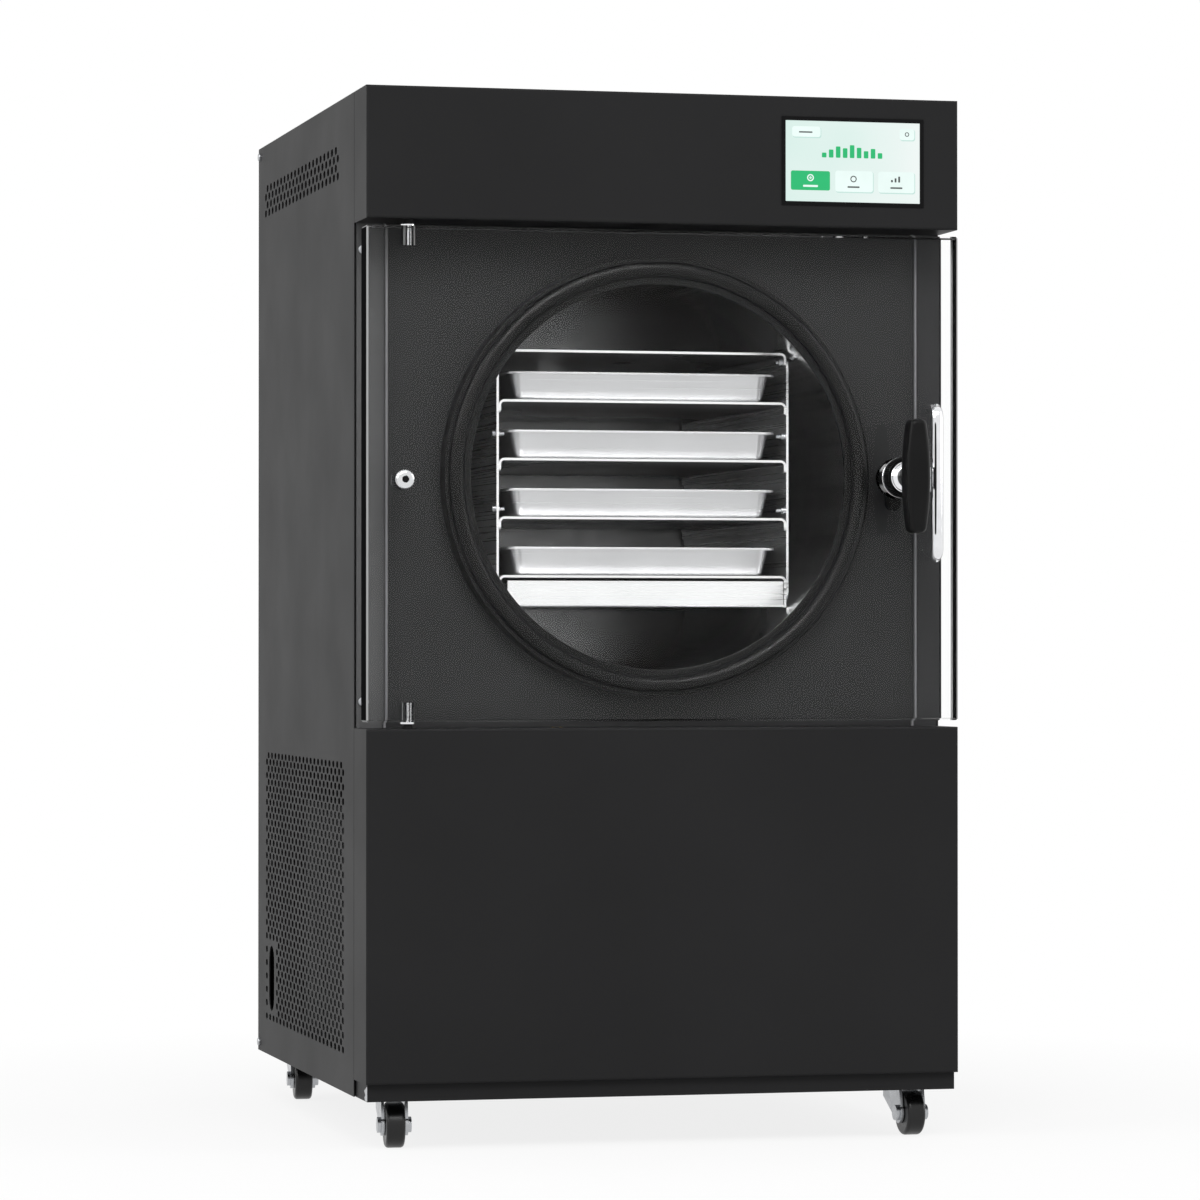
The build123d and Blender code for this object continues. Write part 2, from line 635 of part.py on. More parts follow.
def chamber_shell():
    shell = rod_y(CHAMBER_OUTER_RADIUS, NOSE_Y, CHAMBER_END, 0, CENTRE_Z)
    shell += rod_y(CHAMBER_FLANGE_RADIUS, BODY_Y, BODY_Y + CHAMBER_FLANGE, 0, CENTRE_Z)
    shell -= rod_y(CHAMBER_BORE_RADIUS, NOSE_Y - SHEET, BODY_Y + CHAMBER_DEPTH, 0, CENTRE_Z)
    shell -= rod_y(VACUUM_BORE_RADIUS, BODY_Y, CHAMBER_END + SHEET, 0, VACUUM_Z)
    below = CENTRE_Z - CHAMBER_OUTER_RADIUS - CHAMBER_WALL
    above = CENTRE_Z - CHAMBER_BORE_RADIUS + CHAMBER_WALL
    shell -= rod_z(DRAIN_BORE_RADIUS, below, above, 0, DRAIN_Y)
    return shell


def chamber_gasket():
    """A moulded ring over the chamber's nose, with a round bead that meets the door."""
    bead_y = DOOR_REAR + SEAT_GAP + GASKET_BEAD_RADIUS
    shoulder_y = BODY_Y - GASKET_SHOULDER
    foot_y = PLATE_FRONT
    groove = CHAMBER_OUTER_RADIUS + SEAT_GAP
    lip_y = NOSE_Y - SEAT_GAP
    outer = [
        (groove, foot_y),
        (GASKET_RADIUS, foot_y),
        (GASKET_RADIUS, shoulder_y),
        (GASKET_LIP_RADIUS, shoulder_y - GASKET_LIP_STEP),
        (GASKET_LIP_RADIUS, lip_y),
        (groove, lip_y),
    ]
    body = make_face(Polyline(*outer, close=True))
    corners = [v for v in body.vertices() if v.Y < lip_y - GASKET_ROUND]
    body = fillet(corners, GASKET_ROUND)
    bead = Pos(GASKET_BEAD_CENTRE, bead_y) * Circle(GASKET_BEAD_RADIUS)
    nose = Pos(groove / 2, (lip_y + foot_y) / 2) * Rectangle(groove, foot_y - lip_y)
    section = body + bead - nose
    ring = revolve(section, Axis((0, 0, 0), (0, 1, 0)))
    return Pos(0, 0, CENTRE_Z) * ring


def cooling_coil():
    """A copper tube wound round the chamber wall."""
    radius = CHAMBER_OUTER_RADIUS + COIL_TUBE_RADIUS + SEAT_GAP
    helix = Helix(pitch=COIL_PITCH, height=COIL_PITCH * COIL_TURNS, radius=radius)
    start = Plane(origin=helix @ 0, z_dir=helix % 0)
    coil = sweep(start * Circle(COIL_TUBE_RADIUS), path=helix, is_frenet=True)
    return Pos(0, BODY_Y + COIL_START, CENTRE_Z) * Rot(-90, 0, 0) * coil


def chamber_insulation():
    y0 = BODY_Y + CHAMBER_FLANGE + SEAT_GAP
    foam = rod_y(FOAM_RADIUS, y0, FOAM_END, 0, CENTRE_Z)
    foam -= rod_y(FOAM_BORE_RADIUS, y0 - SHEET, FOAM_END - FOAM_THICKNESS, 0, CENTRE_Z)
    foam -= rod_y(VACUUM_TUBE_RADIUS + SEAT_GAP, CHAMBER_END, FOAM_END + SHEET, 0, VACUUM_Z)
    below = CENTRE_Z - FOAM_RADIUS - SHEET
    above = CENTRE_Z - FOAM_BORE_RADIUS + FOAM_THICKNESS
    foam -= rod_z(DRAIN_RADIUS + SEAT_GAP, below, above, 0, DRAIN_Y)
    return foam


# ---------------------------------------------------------------------------
# Rack and trays
# ---------------------------------------------------------------------------

def rack_screw_rods(side, radius):
    """Rods through one side plate where its screws pass."""
    x0, x1 = sorted((side * (SHELF_HALF - RACK_SCREW_INSIDE), side * (RACK_HALF + RACK_SCREW_HEAD)))
    return [
        rod_x(radius, x0, x1, y, z)
        for y in (RACK_FRONT + RACK_SCREW_INSET, RACK_REAR - RACK_SCREW_INSET)
        for z in RACK_SCREW_HEIGHTS
    ]


def rack_side(side):
    x0, x1 = sorted((side * SHELF_HALF, side * RACK_HALF))
    plate = block(x0, x1, RACK_FRONT, RACK_REAR, CENTRE_Z - RACK_SIDE_REACH, CENTRE_Z + RACK_SIDE_REACH)
    plate = fillet(plate.edges().filter_by(Axis.X), RACK_CORNER_RADIUS)
    return plate - rack_screw_rods(side, RACK_SCREW_RADIUS + RUNNING_CLEARANCE)


def folded_shelf(z1):
    """A sheet whose two sides are turned down, with its top face at z1."""
    z0 = z1 - SHELF_FLANGE
    outer = block(-SHELF_HALF, SHELF_HALF, RACK_FRONT, RACK_REAR, z0, z1)
    outer = fillet(outer.edges().filter_by(Axis.Y).group_by(Axis.Z)[-1], SHELF_BEND_RADIUS)
    inner_half = SHELF_HALF - RACK_SHEET
    inner = block(-inner_half, inner_half, RACK_FRONT, RACK_REAR, z0, z1 - RACK_SHEET)
    inner = fillet(inner.edges().filter_by(Axis.Y).group_by(Axis.Z)[-1], SHELF_BEND_RADIUS - RACK_SHEET)
    shelf = outer - inner
    return fillet(shelf.edges().filter_by(Axis.X).group_by(Axis.Z)[0], SHELF_FLANGE_CORNER)


def rack_top_plate():
    plate = folded_shelf(RACK_TOP)
    for side in (-1, 1):
        plate -= rack_screw_rods(side, RACK_SCREW_RADIUS + RUNNING_CLEARANCE)
    return plate


def rack_shelf(index):
    """Shelf counted from the bottom."""
    return folded_shelf(FIRST_SHELF_TOP + index * SHELF_PITCH)


def rack_base():
    """Floor sheet with turned-up sides, and a front apron that stands forward of the shelves."""
    z0 = RACK_BOTTOM
    base = block(-SHELF_HALF, SHELF_HALF, RACK_FRONT, RACK_REAR, z0, z0 + RACK_SHEET)
    for side in (-1, 1):
        x0, x1 = sorted((side * (SHELF_HALF - RACK_SHEET), side * SHELF_HALF))
        base += block(x0, x1, RACK_FRONT, RACK_REAR, z0, z0 + RACK_BASE_FLANGE)
    apron_front = RACK_FRONT - RACK_BASE_FORWARD
    apron_half = SHELF_HALF - RACK_BASE_END_GAP
    base += block(-apron_half, apron_half, apron_front, RACK_FRONT, z0, z0 + RACK_SHEET)
    apron = block(-apron_half, apron_half, apron_front, apron_front + RACK_SHEET, z0, z0 + RACK_BASE_HEIGHT)
    base += apron
    front_edge = base.edges().filter_by(Axis.X).group_by(Axis.Y)[0].sort_by(Axis.Z)[0]
    return fillet(front_edge, RACK_BASE_BEND)


def rack_screw(side, y, z, face):
    """Stud through a side plate, with its head outside and its nut on the inner face."""
    x_in = SHELF_HALF - RACK_SCREW_INSIDE
    x_out = RACK_HALF + RACK_SCREW_HEAD
    stud = rod_x(RACK_SCREW_RADIUS, *sorted((side * x_in, side * x_out)), y, z)
    head = rod_x(RACK_SCREW_HEAD_RADIUS, *sorted((side * RACK_HALF, side * x_out)), y, z)
    nut = rod_x(RACK_NUT_RADIUS, *sorted((side * face, side * (face - RACK_NUT))), y, z)
    return stud + head + nut


def rack_screws():
    screws = []
    for side in (-1, 1):
        for z in RACK_SCREW_HEIGHTS:
            face = SHELF_HALF - RACK_SHEET if z > RACK_TOP - SHELF_FLANGE else SHELF_HALF
            for y in (RACK_FRONT + RACK_SCREW_INSET, RACK_REAR - RACK_SCREW_INSET):
                screws.append(rack_screw(side, y, z, face))
    return Compound(children=[one_solid(s) for s in screws])


def tray(index):
    """A drawn pan with sloping walls and a rolled rim, resting on its shelf."""
    z0 = FIRST_SHELF_TOP + index * SHELF_PITCH + SEAT_GAP
    y0 = RACK_FRONT + TRAY_SETBACK
    spread = 2 * TRAY_HEIGHT * math.tan(math.radians(TRAY_TAPER))
    inner_width = TRAY_WIDTH - 2 * TRAY_RIM
    inner_depth = TRAY_DEPTH - 2 * TRAY_RIM
    floor = RectangleRounded(inner_width - spread, inner_depth - spread, TRAY_CORNER_RADIUS)
    hollow = offset(floor, -TRAY_SHEET)
    pan = extrude(floor, TRAY_HEIGHT, taper=-TRAY_TAPER)
    pan = fillet(pan.edges().group_by(Axis.Z)[0], TRAY_FOOT_RADIUS)
    cavity = Pos(0, 0, TRAY_SHEET) * extrude(hollow, TRAY_HEIGHT, taper=-TRAY_TAPER)
    cavity = fillet(cavity.edges().group_by(Axis.Z)[0], TRAY_FOOT_RADIUS - TRAY_SHEET)
    rim = RectangleRounded(TRAY_WIDTH, TRAY_DEPTH, TRAY_CORNER_RADIUS + TRAY_RIM)
    roll = extrude(Pos(0, 0, TRAY_HEIGHT - TRAY_RIM_HEIGHT) * rim, TRAY_RIM_HEIGHT)
    roll = fillet(roll.edges().group_by(Axis.Z)[-1], TRAY_RIM_ROUND)
    return Pos(0, y0 + TRAY_DEPTH / 2, z0) * (pan + roll - cavity)


# ---------------------------------------------------------------------------
# Door and its fittings
# ---------------------------------------------------------------------------

def door_panel():
    slab = block(-HALF, HALF, DOOR_FRONT, DOOR_REAR, DOOR_BOTTOM, DOOR_TOP)
    slab = chamfer(slab.edges(), DOOR_BEVEL)
    slab -= rod_z(BUSHING_RADIUS, DOOR_TOP - BUSHING_DEPTH, DOOR_TOP + SHEET, HINGE_X, HINGE_Y)
    slab -= rod_z(BUSHING_RADIUS, DOOR_BOTTOM - SHEET, DOOR_BOTTOM + BUSHING_DEPTH, HINGE_X, HINGE_Y)
    through = (DOOR_FRONT - SHEET, DOOR_REAR + SHEET)
    slab -= rod_y(HUB_BARREL_RADIUS, *through, LATCH_X, CENTRE_Z)
    slab -= rod_y(BOLT_RADIUS, *through, BOLT_X, BOLT_Z)
    return slab


def hinge_bushing(end):
    """Flanged sleeve pressed into the slab: end is +1 at the top, -1 at the bottom."""
    edge = DOOR_TOP if end > 0 else DOOR_BOTTOM
    z0, z1 = sorted((edge, edge - end * BUSHING_DEPTH))
    sleeve = rod_z(BUSHING_RADIUS, z0, z1, HINGE_X, HINGE_Y)
    z0, z1 = sorted((edge, edge + end * BUSHING_FLANGE))
    sleeve += rod_z(BUSHING_FLANGE_RADIUS, z0, z1, HINGE_X, HINGE_Y)
    bore = HINGE_PIN_RADIUS + RUNNING_CLEARANCE
    low = min(z0, edge - BUSHING_DEPTH)
    return sleeve - rod_z(bore, low - SHEET, edge + BUSHING_DEPTH + SHEET, HINGE_X, HINGE_Y)


def hinge_bushings():
    return Compound(children=[one_solid(hinge_bushing(end)) for end in (1, -1)])


def hinge_bracket(end):
    """Plate inside the header or lower box, bolted to the post, with its welded pin."""
    wall = HEADER_BOTTOM + SHEET if end > 0 else LOWER_TOP - SHEET
    z0, z1 = sorted((wall, wall + end * HINGE_PLATE))
    x0 = -HALF + SHEET + SEAM
    y0 = HINGE_Y - HINGE_PLATE_OVERHANG
    bracket = block(x0, x0 + HINGE_PLATE_WIDTH, y0, BODY_Y, z0, z1)
    f0, f1 = sorted((wall, wall + end * HINGE_FLANGE_HEIGHT))
    bracket += block(x0 + SHEET, x0 + HINGE_PLATE_WIDTH, BODY_Y - HINGE_PLATE, BODY_Y, f0, f1)
    edge = DOOR_TOP if end > 0 else DOOR_BOTTOM
    tip = edge - end * (BUSHING_DEPTH - SEAM)
    p0, p1 = sorted((tip, wall))
    bracket += rod_z(HINGE_PIN_RADIUS, p0, p1, HINGE_X, HINGE_Y)
    shoulder = edge + end * (BUSHING_FLANGE + SEAT_GAP)
    face = HEADER_BOTTOM if end > 0 else LOWER_TOP
    s0, s1 = sorted((shoulder, face))
    return bracket + rod_z(HINGE_SHOULDER_RADIUS, s0, s1, HINGE_X, HINGE_Y)


def hinge_brackets():
    return Compound(children=[one_solid(hinge_bracket(end)) for end in (1, -1)])


def hinge_side_bolt():
    """Button-head bolt through the slab with its nut behind."""
    head = rod_y(BOLT_HEAD_RADIUS, DOOR_FRONT - BOLT_HEAD_HEIGHT, DOOR_FRONT, BOLT_X, BOLT_Z)
    head = fillet(head.edges().group_by(Axis.Y)[0], BOLT_HEAD_ROUND)
    socket = Plane((BOLT_X, DOOR_FRONT - BOLT_HEAD_HEIGHT, BOLT_Z), z_dir=(0, 1, 0))
    head -= extrude(socket * RegularPolygon(BOLT_SOCKET_RADIUS, 6), BOLT_SOCKET_DEPTH)
    shank = rod_y(BOLT_RADIUS, DOOR_FRONT, DOOR_REAR + BOLT_NUT_HEIGHT + SHEET, BOLT_X, BOLT_Z)
    nut_plane = Plane((BOLT_X, DOOR_REAR, BOLT_Z), z_dir=(0, 1, 0))
    nut = extrude(nut_plane * RegularPolygon(BOLT_NUT_RADIUS, 6), BOLT_NUT_HEIGHT)
    return head + shank + nut


def grab_handle():
    """Pull bent from round bar, its two legs screwed to the slab from behind."""
    low = CENTRE_Z - HANDLE_DROP - HANDLE_SPACING / 2
    high = low + HANDLE_SPACING
    out = DOOR_FRONT - HANDLE_REACH
    points = [
        (HANDLE_X, DOOR_FRONT, low),
        (HANDLE_X, out, low),
        (HANDLE_X, out, high),
        (HANDLE_X, DOOR_FRONT, high),
    ]
    return tube_along(points, HANDLE_BEND_RADIUS, HANDLE_BAR_RADIUS)


def latch_hub():
    """Bearing sleeve of the latch: front ring nut, barrel through the slab, rear washer."""
    front = DOOR_FRONT - HUB_NUT
    rear = DOOR_REAR + HUB_WASHER
    hub = rod_y(HUB_RADIUS, front, DOOR_FRONT, LATCH_X, CENTRE_Z)
    hub = fillet(hub.edges().group_by(Axis.Y)[0], HUB_NUT_ROUND)
    hub += rod_y(HUB_BARREL_RADIUS, DOOR_FRONT, DOOR_REAR, LATCH_X, CENTRE_Z)
    hub += rod_y(HUB_WASHER_RADIUS, DOOR_REAR, rear, LATCH_X, CENTRE_Z)
    bore = SPINDLE_RADIUS + RUNNING_CLEARANCE
    return hub - rod_y(bore, front - SHEET, rear + SHEET, LATCH_X, CENTRE_Z)


def latch_spindle():
    """Turned spindle with a collar in front and the latch pawl behind the slab."""
    collar_rear = DOOR_FRONT - HUB_NUT - SEAT_GAP
    collar_front = collar_rear - COLLAR_LENGTH
    pawl_rear = PAWL_FRONT + PAWL_THICKNESS
    spindle = rod_y(SPINDLE_RADIUS, KNOB_MIDDLE_Y, pawl_rear, LATCH_X, CENTRE_Z)
    collar = rod_y(COLLAR_RADIUS, collar_front, collar_rear, LATCH_X, CENTRE_Z)
    spindle += fillet(collar.edges().group_by(Axis.Y)[0], COLLAR_ROUND)
    half = PAWL_WIDTH / 2
    tip_z = CENTRE_Z - PAWL_LENGTH + half
    spindle += block(LATCH_X - half, LATCH_X + half, PAWL_FRONT, pawl_rear, tip_z, CENTRE_Z)
    spindle += rod_y(half, PAWL_FRONT, pawl_rear, LATCH_X, CENTRE_Z)
    spindle += rod_y(half, PAWL_FRONT, pawl_rear, LATCH_X, tip_z)
    return spindle


def knob_outline():
    """Barrel outline seen from the front: widest in the middle, with rounded corners."""
    half = KNOB_LENGTH / 2
    end = KNOB_END_WIDTH / 2
    middle = KNOB_MIDDLE_WIDTH / 2
    right = ThreePointArc((end, -half), (middle, 0), (end, half))
    left = ThreePointArc((-end, half), (-middle, 0), (-end, -half))
    caps = Line((end, half), (-end, half)) + Line((-end, -half), (end, -half))
    outline = make_face(right + left + caps)
    return fillet(outline.vertices(), KNOB_CORNER_RADIUS)


def latch_knob():
    """Cross bar with a domed front face and a boss behind it that takes the spindle."""
    bar = Pos(LATCH_X, KNOB_REAR, CENTRE_Z) * extrude(Plane.XZ * knob_outline(), KNOB_DEPTH)
    bar = fillet(bar.edges().group_by(Axis.Y)[0], KNOB_FRONT_ROUND)
    bar = fillet(bar.edges().group_by(Axis.Y)[-1], KNOB_REAR_ROUND)
    boss_rear = DOOR_FRONT - HUB_NUT - SEAT_GAP - COLLAR_LENGTH
    bar += rod_y(KNOB_BOSS_RADIUS, KNOB_MIDDLE_Y, boss_rear, LATCH_X, CENTRE_Z)
    bore = SPINDLE_RADIUS + RUNNING_CLEARANCE
    return bar - rod_y(bore, KNOB_MIDDLE_Y, boss_rear + SHEET, LATCH_X, CENTRE_Z)


def latch_keeper():
    """Folded strike on the right post: the pawl turns in behind its lip."""
    z0 = CENTRE_Z - KEEPER_HEIGHT / 2
    z1 = CENTRE_Z + KEEPER_HEIGHT / 2
    lip_rear = PAWL_FRONT - SEAT_GAP
    lip_front = lip_rear - KEEPER_SHEET
    web_x = LATCH_X + PAWL_LENGTH + KEEPER_STAND_OFF
    keeper = block(web_x, web_x + KEEPER_SHEET, lip_front, BODY_Y, z0, z1)
    keeper += block(web_x + KEEPER_SHEET - KEEPER_LIP, web_x + KEEPER_SHEET, lip_front, lip_rear, z0, z1)
    keeper += block(web_x, web_x + KEEPER_FOOT, BODY_Y - KEEPER_SHEET, BODY_Y, z0, z1)
    return keeper


# ---------------------------------------------------------------------------
# Casters
# ---------------------------------------------------------------------------

def caster_plates():
    """Four top plates, each with its kingpin and four bolt heads below."""
    plates = []
    half = CASTER_PLATE_SIZE / 2
    for name, x, y, heading in CASTERS:
        plate = block(x - half, x + half, y - half, y + half, CASTER_PLATE_BOTTOM, PAN_FLOOR_UNDERSIDE)
        plate += rod_z(KINGPIN_RADIUS, FORK_CROWN_HEIGHT, CASTER_PLATE_BOTTOM, x, y)
        inset = half - CASTER_BOLT_INSET
        bolt_z = CASTER_PLATE_BOTTOM - CASTER_BOLT_HEAD
        for bolt_x in (x - inset, x + inset):
            for bolt_y in (y - inset, y + inset):
                plate += rod_z(CASTER_BOLT_RADIUS, bolt_z, CASTER_PLATE_BOTTOM, bolt_x, bolt_y)
        plates.append(one_solid(plate))
    return Compound(children=plates)


def caster_fork():
    """Fork with its riveted axle, about a kingpin at x = y = 0, wheel trailing towards +X."""
    inner = WHEEL_WIDTH / 2 + FORK_SIDE_GAP
    outer = inner + FORK_SHEET
    crown = block(-FORK_CROWN_HALF, FORK_CROWN_HALF, -outer, outer, FORK_CROWN_HEIGHT, FORK_CROWN_TOP)
    head = rod_z(SWIVEL_HEAD_RADIUS, FORK_CROWN_TOP, SWIVEL_HEAD_TOP, 0, 0)
    eye = Pos(CASTER_TRAIL, AXLE_Z) * Circle(FORK_EYE_RADIUS)
    across = FORK_EYE_RADIUS * FORK_TANGENT_X
    along = FORK_EYE_RADIUS * FORK_TANGENT_Z
    web = Polyline(
        (-FORK_CROWN_HALF, FORK_CROWN_TOP),
        (FORK_CROWN_HALF, FORK_CROWN_TOP),
        (CASTER_TRAIL + across, AXLE_Z + along),
        (CASTER_TRAIL - across, AXLE_Z - along),
        (-FORK_CROWN_HALF, FORK_CROWN_HEIGHT - FORK_SKIRT),
        close=True,
    )
    leg = make_face(web) + eye
    fork = crown + head
    for y in (-outer, inner):
        fork += Pos(0, y + FORK_SHEET, 0) * extrude(Plane.XZ * leg, FORK_SHEET)
    axle = Pos(CASTER_TRAIL, 0, AXLE_Z) * Rot(90, 0, 0) * Cylinder(AXLE_RADIUS, 2 * outer)
    fork += axle
    for side in (-1, 1):
        y0, y1 = sorted((side * outer, side * (outer + AXLE_HEAD)))
        fork += rod_y(AXLE_HEAD_RADIUS, y0, y1, CASTER_TRAIL, AXLE_Z)
    bore = KINGPIN_RADIUS + RUNNING_CLEARANCE
    return fork - rod_z(bore, FORK_CROWN_HEIGHT - SHEET, SWIVEL_HEAD_TOP + SHEET, 0, 0)


def caster_wheel():
    """Wheel about its own axle along Y, in the fork's frame."""
    half = WHEEL_WIDTH / 2
    wheel = rod_y(WHEEL_RADIUS, -half, half, CASTER_TRAIL, AXLE_Z)
    wheel = fillet(wheel.edges().filter_by(GeomType.CIRCLE), WHEEL_EDGE_RADIUS)
    bore = AXLE_RADIUS + RUNNING_CLEARANCE
    return wheel - rod_y(bore, -half - SHEET, half + SHEET, CASTER_TRAIL, AXLE_Z)


# ---------------------------------------------------------------------------
# Refrigeration and services
# ---------------------------------------------------------------------------

def compressor():
    """Hermetic can on its foot plate, with a terminal cover on the side."""
    plate_half = COMPRESSOR_PLATE_SIZE / 2
    z0 = COMPRESSOR_BASE
    z1 = z0 + COMPRESSOR_PLATE
    z2 = z1 + COMPRESSOR_HEIGHT
    can = rod_z(COMPRESSOR_RADIUS, z1, z2, COMPRESSOR_X, COMPRESSOR_Y)
    can = fillet(can.edges().sort_by(Axis.Z)[-1], COMPRESSOR_DOME)
    plate = block(
        COMPRESSOR_X - plate_half, COMPRESSOR_X + plate_half,
        COMPRESSOR_Y - plate_half, COMPRESSOR_Y + plate_half, z0, z1,
    )
    plate = fillet(plate.edges().filter_by(Axis.Z), GROMMET_INSET)
    can_side = COMPRESSOR_X - COMPRESSOR_RADIUS
    cover_half = TERMINAL_COVER_WIDTH / 2
    cover_z = z1 + TERMINAL_COVER_RISE
    cover = block(
        can_side - TERMINAL_COVER_REACH, can_side + TERMINAL_COVER_SUNK,
        COMPRESSOR_Y - cover_half, COMPRESSOR_Y + cover_half, cover_z, cover_z + TERMINAL_COVER_HEIGHT,
    )
    return can + plate + cover


def compressor_grommets():
    inset = COMPRESSOR_PLATE_SIZE / 2 - GROMMET_INSET
    feet = [
        rod_z(GROMMET_RADIUS, PAN_TOP, COMPRESSOR_BASE, x, y)
        for x in (COMPRESSOR_X - inset, COMPRESSOR_X + inset)
        for y in (COMPRESSOR_Y - inset, COMPRESSOR_Y + inset)
    ]
    return Compound(children=[one_solid(foot) for foot in feet])


def condenser():
    """Finned block on two feet, with its return bends at both ends."""
    y0 = CONDENSER_Y - CONDENSER_LENGTH / 2
    y1 = CONDENSER_Y + CONDENSER_LENGTH / 2
    core = block(CONDENSER_LEFT, CONDENSER_RIGHT, y0, y1, CONDENSER_BOTTOM, CONDENSER_TOP)
    middle = (CONDENSER_LEFT + CONDENSER_RIGHT) / 2
    pitch = CONDENSER_HEIGHT / CONDENSER_BENDS
    for index in range(CONDENSER_BENDS):
        z = CONDENSER_BOTTOM + (index + 0.5) * pitch
        bend = Torus(CONDENSER_BEND_RADIUS, LINE_RADIUS)
        core += Pos(middle, y0, z) * Rot(0, 90, 0) * bend
        core += Pos(middle, y1, z) * Rot(0, 90, 0) * bend
    foot_half = CONDENSER_FOOT_WIDTH / 2
    for y in (y0 + CONDENSER_FOOT_INSET, y1 - CONDENSER_FOOT_INSET):
        foot_y = (y - foot_half, y + foot_half)
        core += block(CONDENSER_LEFT, CONDENSER_RIGHT, *foot_y, PAN_TOP, CONDENSER_BOTTOM)
    return core


def fan_shroud():
    """Square duct on the condenser with a round throat for the fan."""
    half = FAN_RADIUS + FAN_TIP_GAP + SHROUD_WALL
    x0 = CONDENSER_RIGHT
    x1 = x0 + SHROUD_DEPTH
    duct = block(x0, x1, CONDENSER_Y - half, CONDENSER_Y + half, FAN_Z - half, FAN_Z + half)
    return duct - rod_x(FAN_RADIUS + FAN_TIP_GAP, x0 - SHEET, x1 + SHEET, CONDENSER_Y, FAN_Z)


def fan_motor():
    """Motor with its shaft, held by four struts on the shroud."""
    x0 = FAN_MOTOR_START
    motor = rod_x(FAN_MOTOR_RADIUS, x0, x0 + FAN_MOTOR_LENGTH, CONDENSER_Y, FAN_Z)
    reach = FAN_RADIUS + FAN_TIP_GAP + FAN_STRUT_LAP
    s0 = CONDENSER_RIGHT + SHROUD_DEPTH
    s1 = s0 + SHROUD_SHEET
    half = FAN_STRUT_WIDTH / 2
    motor += block(s0, s1, CONDENSER_Y - reach, CONDENSER_Y + reach, FAN_Z - half, FAN_Z + half)
    motor += block(s0, s1, CONDENSER_Y - half, CONDENSER_Y + half, FAN_Z - reach, FAN_Z + reach)
    shaft_end = FAN_X - FAN_HUB_LENGTH / 2 + SHROUD_SHEET
    return motor + rod_x(FAN_SHAFT_RADIUS, shaft_end, x0, CONDENSER_Y, FAN_Z)


def fan_rotor():
    hub = rod_x(FAN_HUB_RADIUS, FAN_X - FAN_HUB_LENGTH / 2, FAN_X + FAN_HUB_LENGTH / 2, CONDENSER_Y, FAN_Z)
    hub = fillet(hub.edges().sort_by(Axis.X)[0], FAN_HUB_ROUND)
    length = FAN_RADIUS - FAN_HUB_RADIUS + FAN_BLADE_ROOT
    blade = Box(FAN_BLADE_SHEET, FAN_BLADE_WIDTH, length)
    blade = fillet(blade.edges().filter_by(Axis.X).group_by(Axis.Z)[-1], FAN_BLADE_CORNER)
    blade_z = FAN_HUB_RADIUS - FAN_BLADE_ROOT + length / 2
    blade = Pos(0, 0, blade_z) * Rot(0, 0, FAN_BLADE_PITCH) * blade
    sweep_half = FAN_BLADE_WIDTH / 2
    inside = rod_x(FAN_RADIUS, -sweep_half, sweep_half, 0, 0)
    rotor = hub
    for index in range(FAN_BLADES):
        turn = Rot(index * 360.0 / FAN_BLADES, 0, 0)
        rotor += Pos(FAN_X, CONDENSER_Y, FAN_Z) * turn * (blade & inside)
    bore = FAN_SHAFT_RADIUS + RUNNING_CLEARANCE
    shaft_end = FAN_X - FAN_HUB_LENGTH / 2 + SHROUD_SHEET - SEAT_GAP
    return rotor - rod_x(bore, shaft_end, FAN_X + FAN_HUB_LENGTH, CONDENSER_Y, FAN_Z)


def refrigerant_lines():
    """Discharge line to the condenser and suction line up to the chamber coil."""
    can_top = COMPRESSOR_BASE + COMPRESSOR_PLATE + COMPRESSOR_HEIGHT
    middle = (CONDENSER_LEFT + CONDENSER_RIGHT) / 2
    front_y = BODY_Y + CONDENSER_FROM_FRONT + LINE_BEND_RADIUS
    discharge_y = COMPRESSOR_Y - LINE_BEND_RADIUS
    discharge_z = max(can_top, CONDENSER_TOP) + 2 * LINE_BEND_RADIUS
    discharge = tube_along(
        [
            (COMPRESSOR_X, discharge_y, can_top),
            (COMPRESSOR_X, discharge_y, discharge_z),
            (COMPRESSOR_X, front_y, discharge_z),
            (middle, front_y, discharge_z),
            (middle, front_y, CONDENSER_TOP),
        ],
        LINE_BEND_RADIUS, LINE_RADIUS,
    )
    suction_y = COMPRESSOR_Y + LINE_BEND_RADIUS
    suction_z = can_top + 2 * LINE_BEND_RADIUS
    side_x = FOAM_RADIUS + SUCTION_STAND_OFF
    suction = tube_along(
        [
            (COMPRESSOR_X, suction_y, can_top),
            (COMPRESSOR_X, suction_y, suction_z),
            (side_x, suction_y, suction_z),
            (side_x, suction_y, CENTRE_Z),
            (FOAM_RADIUS, suction_y, CENTRE_Z),
        ],
        LINE_BEND_RADIUS, LINE_RADIUS,
    )
    return Compound(children=[one_solid(discharge), one_solid(suction)])


def vacuum_port():
    y0 = CHAMBER_END
    y1 = REAR_Y + VACUUM_REACH
    port = rod_y(VACUUM_TUBE_RADIUS, y0, y1, 0, VACUUM_Z)
    port += rod_y(VACUUM_FLANGE_RADIUS, y1 - VACUUM_FLANGE, y1, 0, VACUUM_Z)
    return port - rod_y(VACUUM_BORE_RADIUS, y0 - SHEET, y1 + SHEET, 0, VACUUM_Z)


